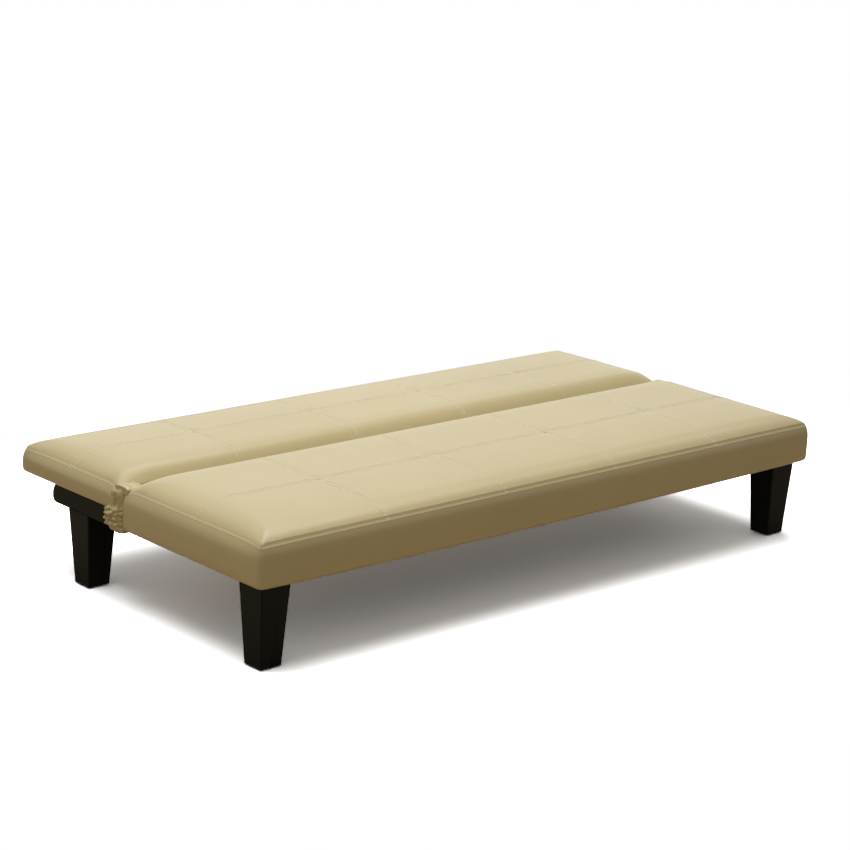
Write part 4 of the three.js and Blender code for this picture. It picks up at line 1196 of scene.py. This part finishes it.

# %% [markdown]
# ## The pads take the place of the plain solids
# A pad is now finished as a mesh. It gets its leathercloth, it rides on its own half of the bed so that it
# turns with it, and it takes the place of the plain cover and foam.

# %% Hand the pads over
for found, pad, covers in (
    (seat, seat_pad, ("seat_cover", "seat_foam")),
    (back, back_pad, ("back_cover", "back_foam")),
):
    found.data.materials.clear()
    found.data.materials.append(leather)
    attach(found, pad["body"])
    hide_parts(*covers)
    print(found.name, "stands in for", covers)

# %% [markdown]
# ## The gathered cloth at the hinge ends
# Where the two covers meet at each end, the spare leathercloth of both is bunched up and hangs over the
# hinge. It is widest below the back's edge and narrow between the pads, and a low hood of it runs in over
# the hinge plates. Cloth simulation of such a small, tight bunch is slow to steer, so the folds are written
# as waves instead: rings are stacked up a bag, and every ring is pleated by a few sines that drift with the
# height. A voxel remesh then fuses bag and hood into one skin.

# %% Fold the outer face of the bag
gather_low, gather_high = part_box("left_hinge_gather")
seat_edge = seat_high.y + 0.0006
pleat_width = 0.0076
fine_pleat_width = 0.0049
tier_height = 0.0115


def bump(value, middle, width):
    return np.exp(-(((value - middle) / width) ** 2))


def crumple(depth, z, across, up, seed):
    return np.array([mathutils.noise.noise(Vector((d * across, z * up, seed))) for d in depth])


def fold_height(depth, z, reach):
    """How far the bag's outer face stands out of the bed's end, for one ring."""
    neck = 1 / (1 + np.exp(-(z - 0.231) / 0.0025))
    belly = (1 - neck) * np.clip((z - gather_low.z) / 0.014, 0.3, 1)
    cheek = np.sin(math.pi * np.clip(depth / reach, 0.02, 0.98)) ** 0.5
    # The face starts just inside the seat's end and comes out of it.
    out = -0.0060 + 0.0055 * np.clip((depth - 0.001) / 0.005, 0, 1)
    # A long fold beside the seat, one along the back's edge, a hollow between them and a slanting fold below.
    out += 0.0048 * bump(depth, 0.0090, 0.0030) * np.clip((z - 0.204) / 0.008, 0, 1)
    out += 0.0034 * neck * bump(depth, 0.0290, 0.0040)
    out -= 0.0065 * bump(depth, 0.0195, 0.0055) * bump(z, 0.243, 0.009)
    out += 0.0030 * bump(z, 0.227 - 0.35 * (depth - 0.012), 0.0035) * cheek
    # A round belly under the neck, with upright pleats that drift with the height, and tiers across them.
    out += 0.0062 * belly * cheek
    drift = 1.3 * math.sin(70 * z) + 40 * (z - 0.2)
    out += 0.0026 * belly * np.sin(depth * 2 * math.pi / pleat_width + drift)
    out += 0.0010 * np.sin(depth * 2 * math.pi / fine_pleat_width - 2 * drift)
    out += 0.0022 * belly * np.sin(z * 2 * math.pi / tier_height + 75 * depth)
    # The top rounds over, and noise breaks up the rest.
    out -= 0.0100 * np.clip((z - 0.264) / 0.011, 0, 1) ** 2
    rough = 0.0048 * crumple(depth, z, 150, 70, 3.0) + 0.0022 * crumple(depth, z, 310, 190, 8.0)
    return out + rough * (0.3 + belly)


print("gather", [round(v, 4) for v in gather_low], [round(v, 4) for v in gather_high])

# %% Stack the rings of the bag
bag_levels = (0.0, 0.04, 0.125, 0.23, 0.45, 0.60, 0.72, 1.0)
bag_reaches = (0.42, 0.62, 0.85, 0.95, 0.88, 0.68, 0.60, 0.55)
bag_thickness = 0.016
bag_inside = 0.018  # how far the bag may reach into the bed's end


def bag_rings(side, count=44, levels=56):
    low, high = gather_low.z - 0.001, pivot.z + 0.013
    rings = []
    for level in np.linspace(0, 1, levels):
        z = low + (high - low) * level
        reach = (gather_high.y - seat_edge) * np.interp(level, bag_levels, bag_reaches)
        depth = np.linspace(0, reach, count)
        x_out = half_length + fold_height(depth, z, reach)
        x_in = np.maximum(half_length - bag_inside, x_out - bag_thickness)
        outer = [(side * x, seat_edge + d, z) for x, d in zip(x_out, depth)]
        inner = [(side * x, seat_edge + d, z) for x, d in zip(x_in[::-1], depth[::-1])]
        rings.append(outer + inner)
    return rings


print("rings of the bag", len(bag_rings(-1)))

# %% Stack the rings of the hood
hood_start = 0.005  # from the bed's end
hood_length = 0.054
hood_height = 0.0060
hood_half_width = 0.0225


def hood_rings(side, count=22, steps=34):
    rings = []
    turn = np.linspace(0, math.pi, count)
    for share in np.linspace(0, 1, steps):
        x = side * (half_length - hood_start - hood_length * share)
        dip = 0.013 * max(0, (share - 0.74) / 0.26) ** 2
        wave = 0.0011 * math.sin(share * 19) + 0.0006 * math.sin(share * 43)
        height = hood_height + wave - 0.0008 * share
        wide = hood_half_width - 0.003 * share + 0.0012 * math.sin(share * 19 + 1)
        foot = pivot.z + 0.0134 - dip
        # The outer end is solid, so that it joins the bag, and the rest is a thin arch.
        hollow = min(max((share - 0.24) / 0.06, 0), 1)
        sunk = -0.002 - 0.008 * (1 - hollow)
        arch = (height - 0.0026) * hollow
        ring = [(x, pivot.y + wide * math.cos(a), foot + height * math.sin(a) ** 0.8) for a in turn]
        for a in turn[::-1]:
            ring.append((x, pivot.y + (wide - 0.003) * math.cos(a), foot + sunk + arch * math.sin(a) ** 0.8))
        rings.append(ring)
    return rings


def tube_faces(rings, start):
    size = len(rings[0])
    faces = []
    for row in range(len(rings) - 1):
        low, high = start + row * size, start + (row + 1) * size
        for k in range(size):
            after = (k + 1) % size
            faces.append((low + k, low + after, high + after, high + k))
    faces.append(tuple(range(start + size - 1, start - 1, -1)))
    last = start + (len(rings) - 1) * size
    faces.append(tuple(range(last, last + size)))
    return faces


print("rings of the hood", len(hood_rings(-1)))

# %% Fuse and smooth the gathers
voxel = 0.0011


def make_gather(name, side):
    points, faces = [], []
    for rings in (bag_rings(side), hood_rings(side)):
        faces += tube_faces(rings, len(points))
        points += [point for ring in rings for point in ring]
    found = new_piece(name, points, faces)
    mesh = found.data
    mesh.validate()
    shaped = bmesh.new()
    shaped.from_mesh(mesh)
    bmesh.ops.recalc_face_normals(shaped, faces=shaped.faces)
    shaped.to_mesh(mesh)
    shaped.free()
    fuse = found.modifiers.new("fuse", "REMESH")
    fuse.mode = "VOXEL"
    fuse.voxel_size = voxel
    soften = found.modifiers.new("soften", "SMOOTH")
    soften.factor, soften.iterations = 0.5, 1
    apply_modifiers(found)
    found.data.shade_smooth()
    found.data.materials.clear()
    found.data.materials.append(leather)
    return found


for label, side in (("left", -1), ("right", 1)):
    bunch = make_gather(label + "_gathered_cloth", side)
    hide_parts(label + "_hinge_gather")
    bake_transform(bunch)
    print(bunch.name, len(bunch.data.vertices), "points")

# %% [markdown]
# ## Three sheets of cloth
# The joining strip hangs as a trough in the groove between the pads and keeps crumbs out of the hinge. A
# dust cloth closes the seat's underside and a lining closes the back's. Each is a grid of squares with a
# little sag and unevenness. The size the strip was cut to is measured here from the grid itself.

# %% Hang the joining strip
def grid_piece(name, places, material):
    _, squares = grid_squares(*places.shape[:2])
    found = new_piece(name, places.reshape(-1, 3).tolist(), squares)
    found.data.shade_smooth()
    found.data.materials.append(material)
    return found


def cut_size(places):
    across = np.linalg.norm(np.diff(places, axis=0), axis=-1).sum(axis=0).mean()
    down = np.linalg.norm(np.diff(places, axis=1), axis=-1).sum(axis=1).mean()
    return float(across), float(down)


strip_low, strip_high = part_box("joining_strip")
middle_y = (strip_low.y + strip_high.y) / 2
half_gap = (strip_high.y - strip_low.y) / 2 - 0.0004
straight = strip_high.z - strip_low.z - half_gap
profile = [(-half_gap, strip_high.z - straight * t / 4) for t in range(4)]
profile += [
    (-half_gap * math.cos(a), strip_low.z + half_gap * (1 - math.sin(a)) + 0.0006)
    for a in np.linspace(0, math.pi, 13)
]
profile += [(half_gap, strip_high.z - straight * t / 4) for t in range(3, -1, -1)]
xs = np.linspace(strip_low.x + 0.001, strip_high.x - 0.001, 150)
trough = np.array([
    [(x, middle_y + y, z + 0.0009 * math.sin(38 * x + 60 * y)) for y, z in profile] for x in xs
])
strip = grid_piece("joining_strip_cloth", trough, leather)
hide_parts("joining_strip")
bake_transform(strip)
print("strip cut", [round(v, 3) for v in cut_size(trough)])

# %% Stretch the dust cloth and the lining
flat_end = 0.10  # no sag this near the short edges


def lining_sheet(name, node, sag, body):
    low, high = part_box(node)
    level = (low.z + high.z) / 2
    xs = np.linspace(low.x, high.x, 110)
    ys = np.linspace(low.y, high.y, 34)
    grid_x, grid_y = np.meshgrid(xs, ys, indexing="ij")
    end = np.clip((high.x - flat_end - np.abs(grid_x)) / 0.25, 0, 1)
    edge = np.clip(np.minimum(grid_y - low.y, high.y - grid_y) / 0.12, 0, 1)
    drop = sag * (1 - (1 - end) ** 2) * (1 - (1 - edge) ** 2)
    ripple = 0.0006 * np.sin(grid_x * 31 + 4 * np.sin(grid_y * 23)) * np.sin(grid_y * 27 + grid_x * 3)
    held = np.clip(np.minimum(end, edge), 0, 1)
    places = np.stack([grid_x, grid_y, level - drop + ripple * held], axis=-1)
    found = grid_piece(name, places, lining_cloth)
    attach(found, body)
    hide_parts(node)
    return found


for made in (
    lining_sheet("seat_dust_sheet", "seat_dust_cloth", sag=0.007, body="base"),
    lining_sheet("back_lining_sheet", "back_lining", sag=0.004, body="back"),
):
    print(made.name, len(made.data.vertices), "points")
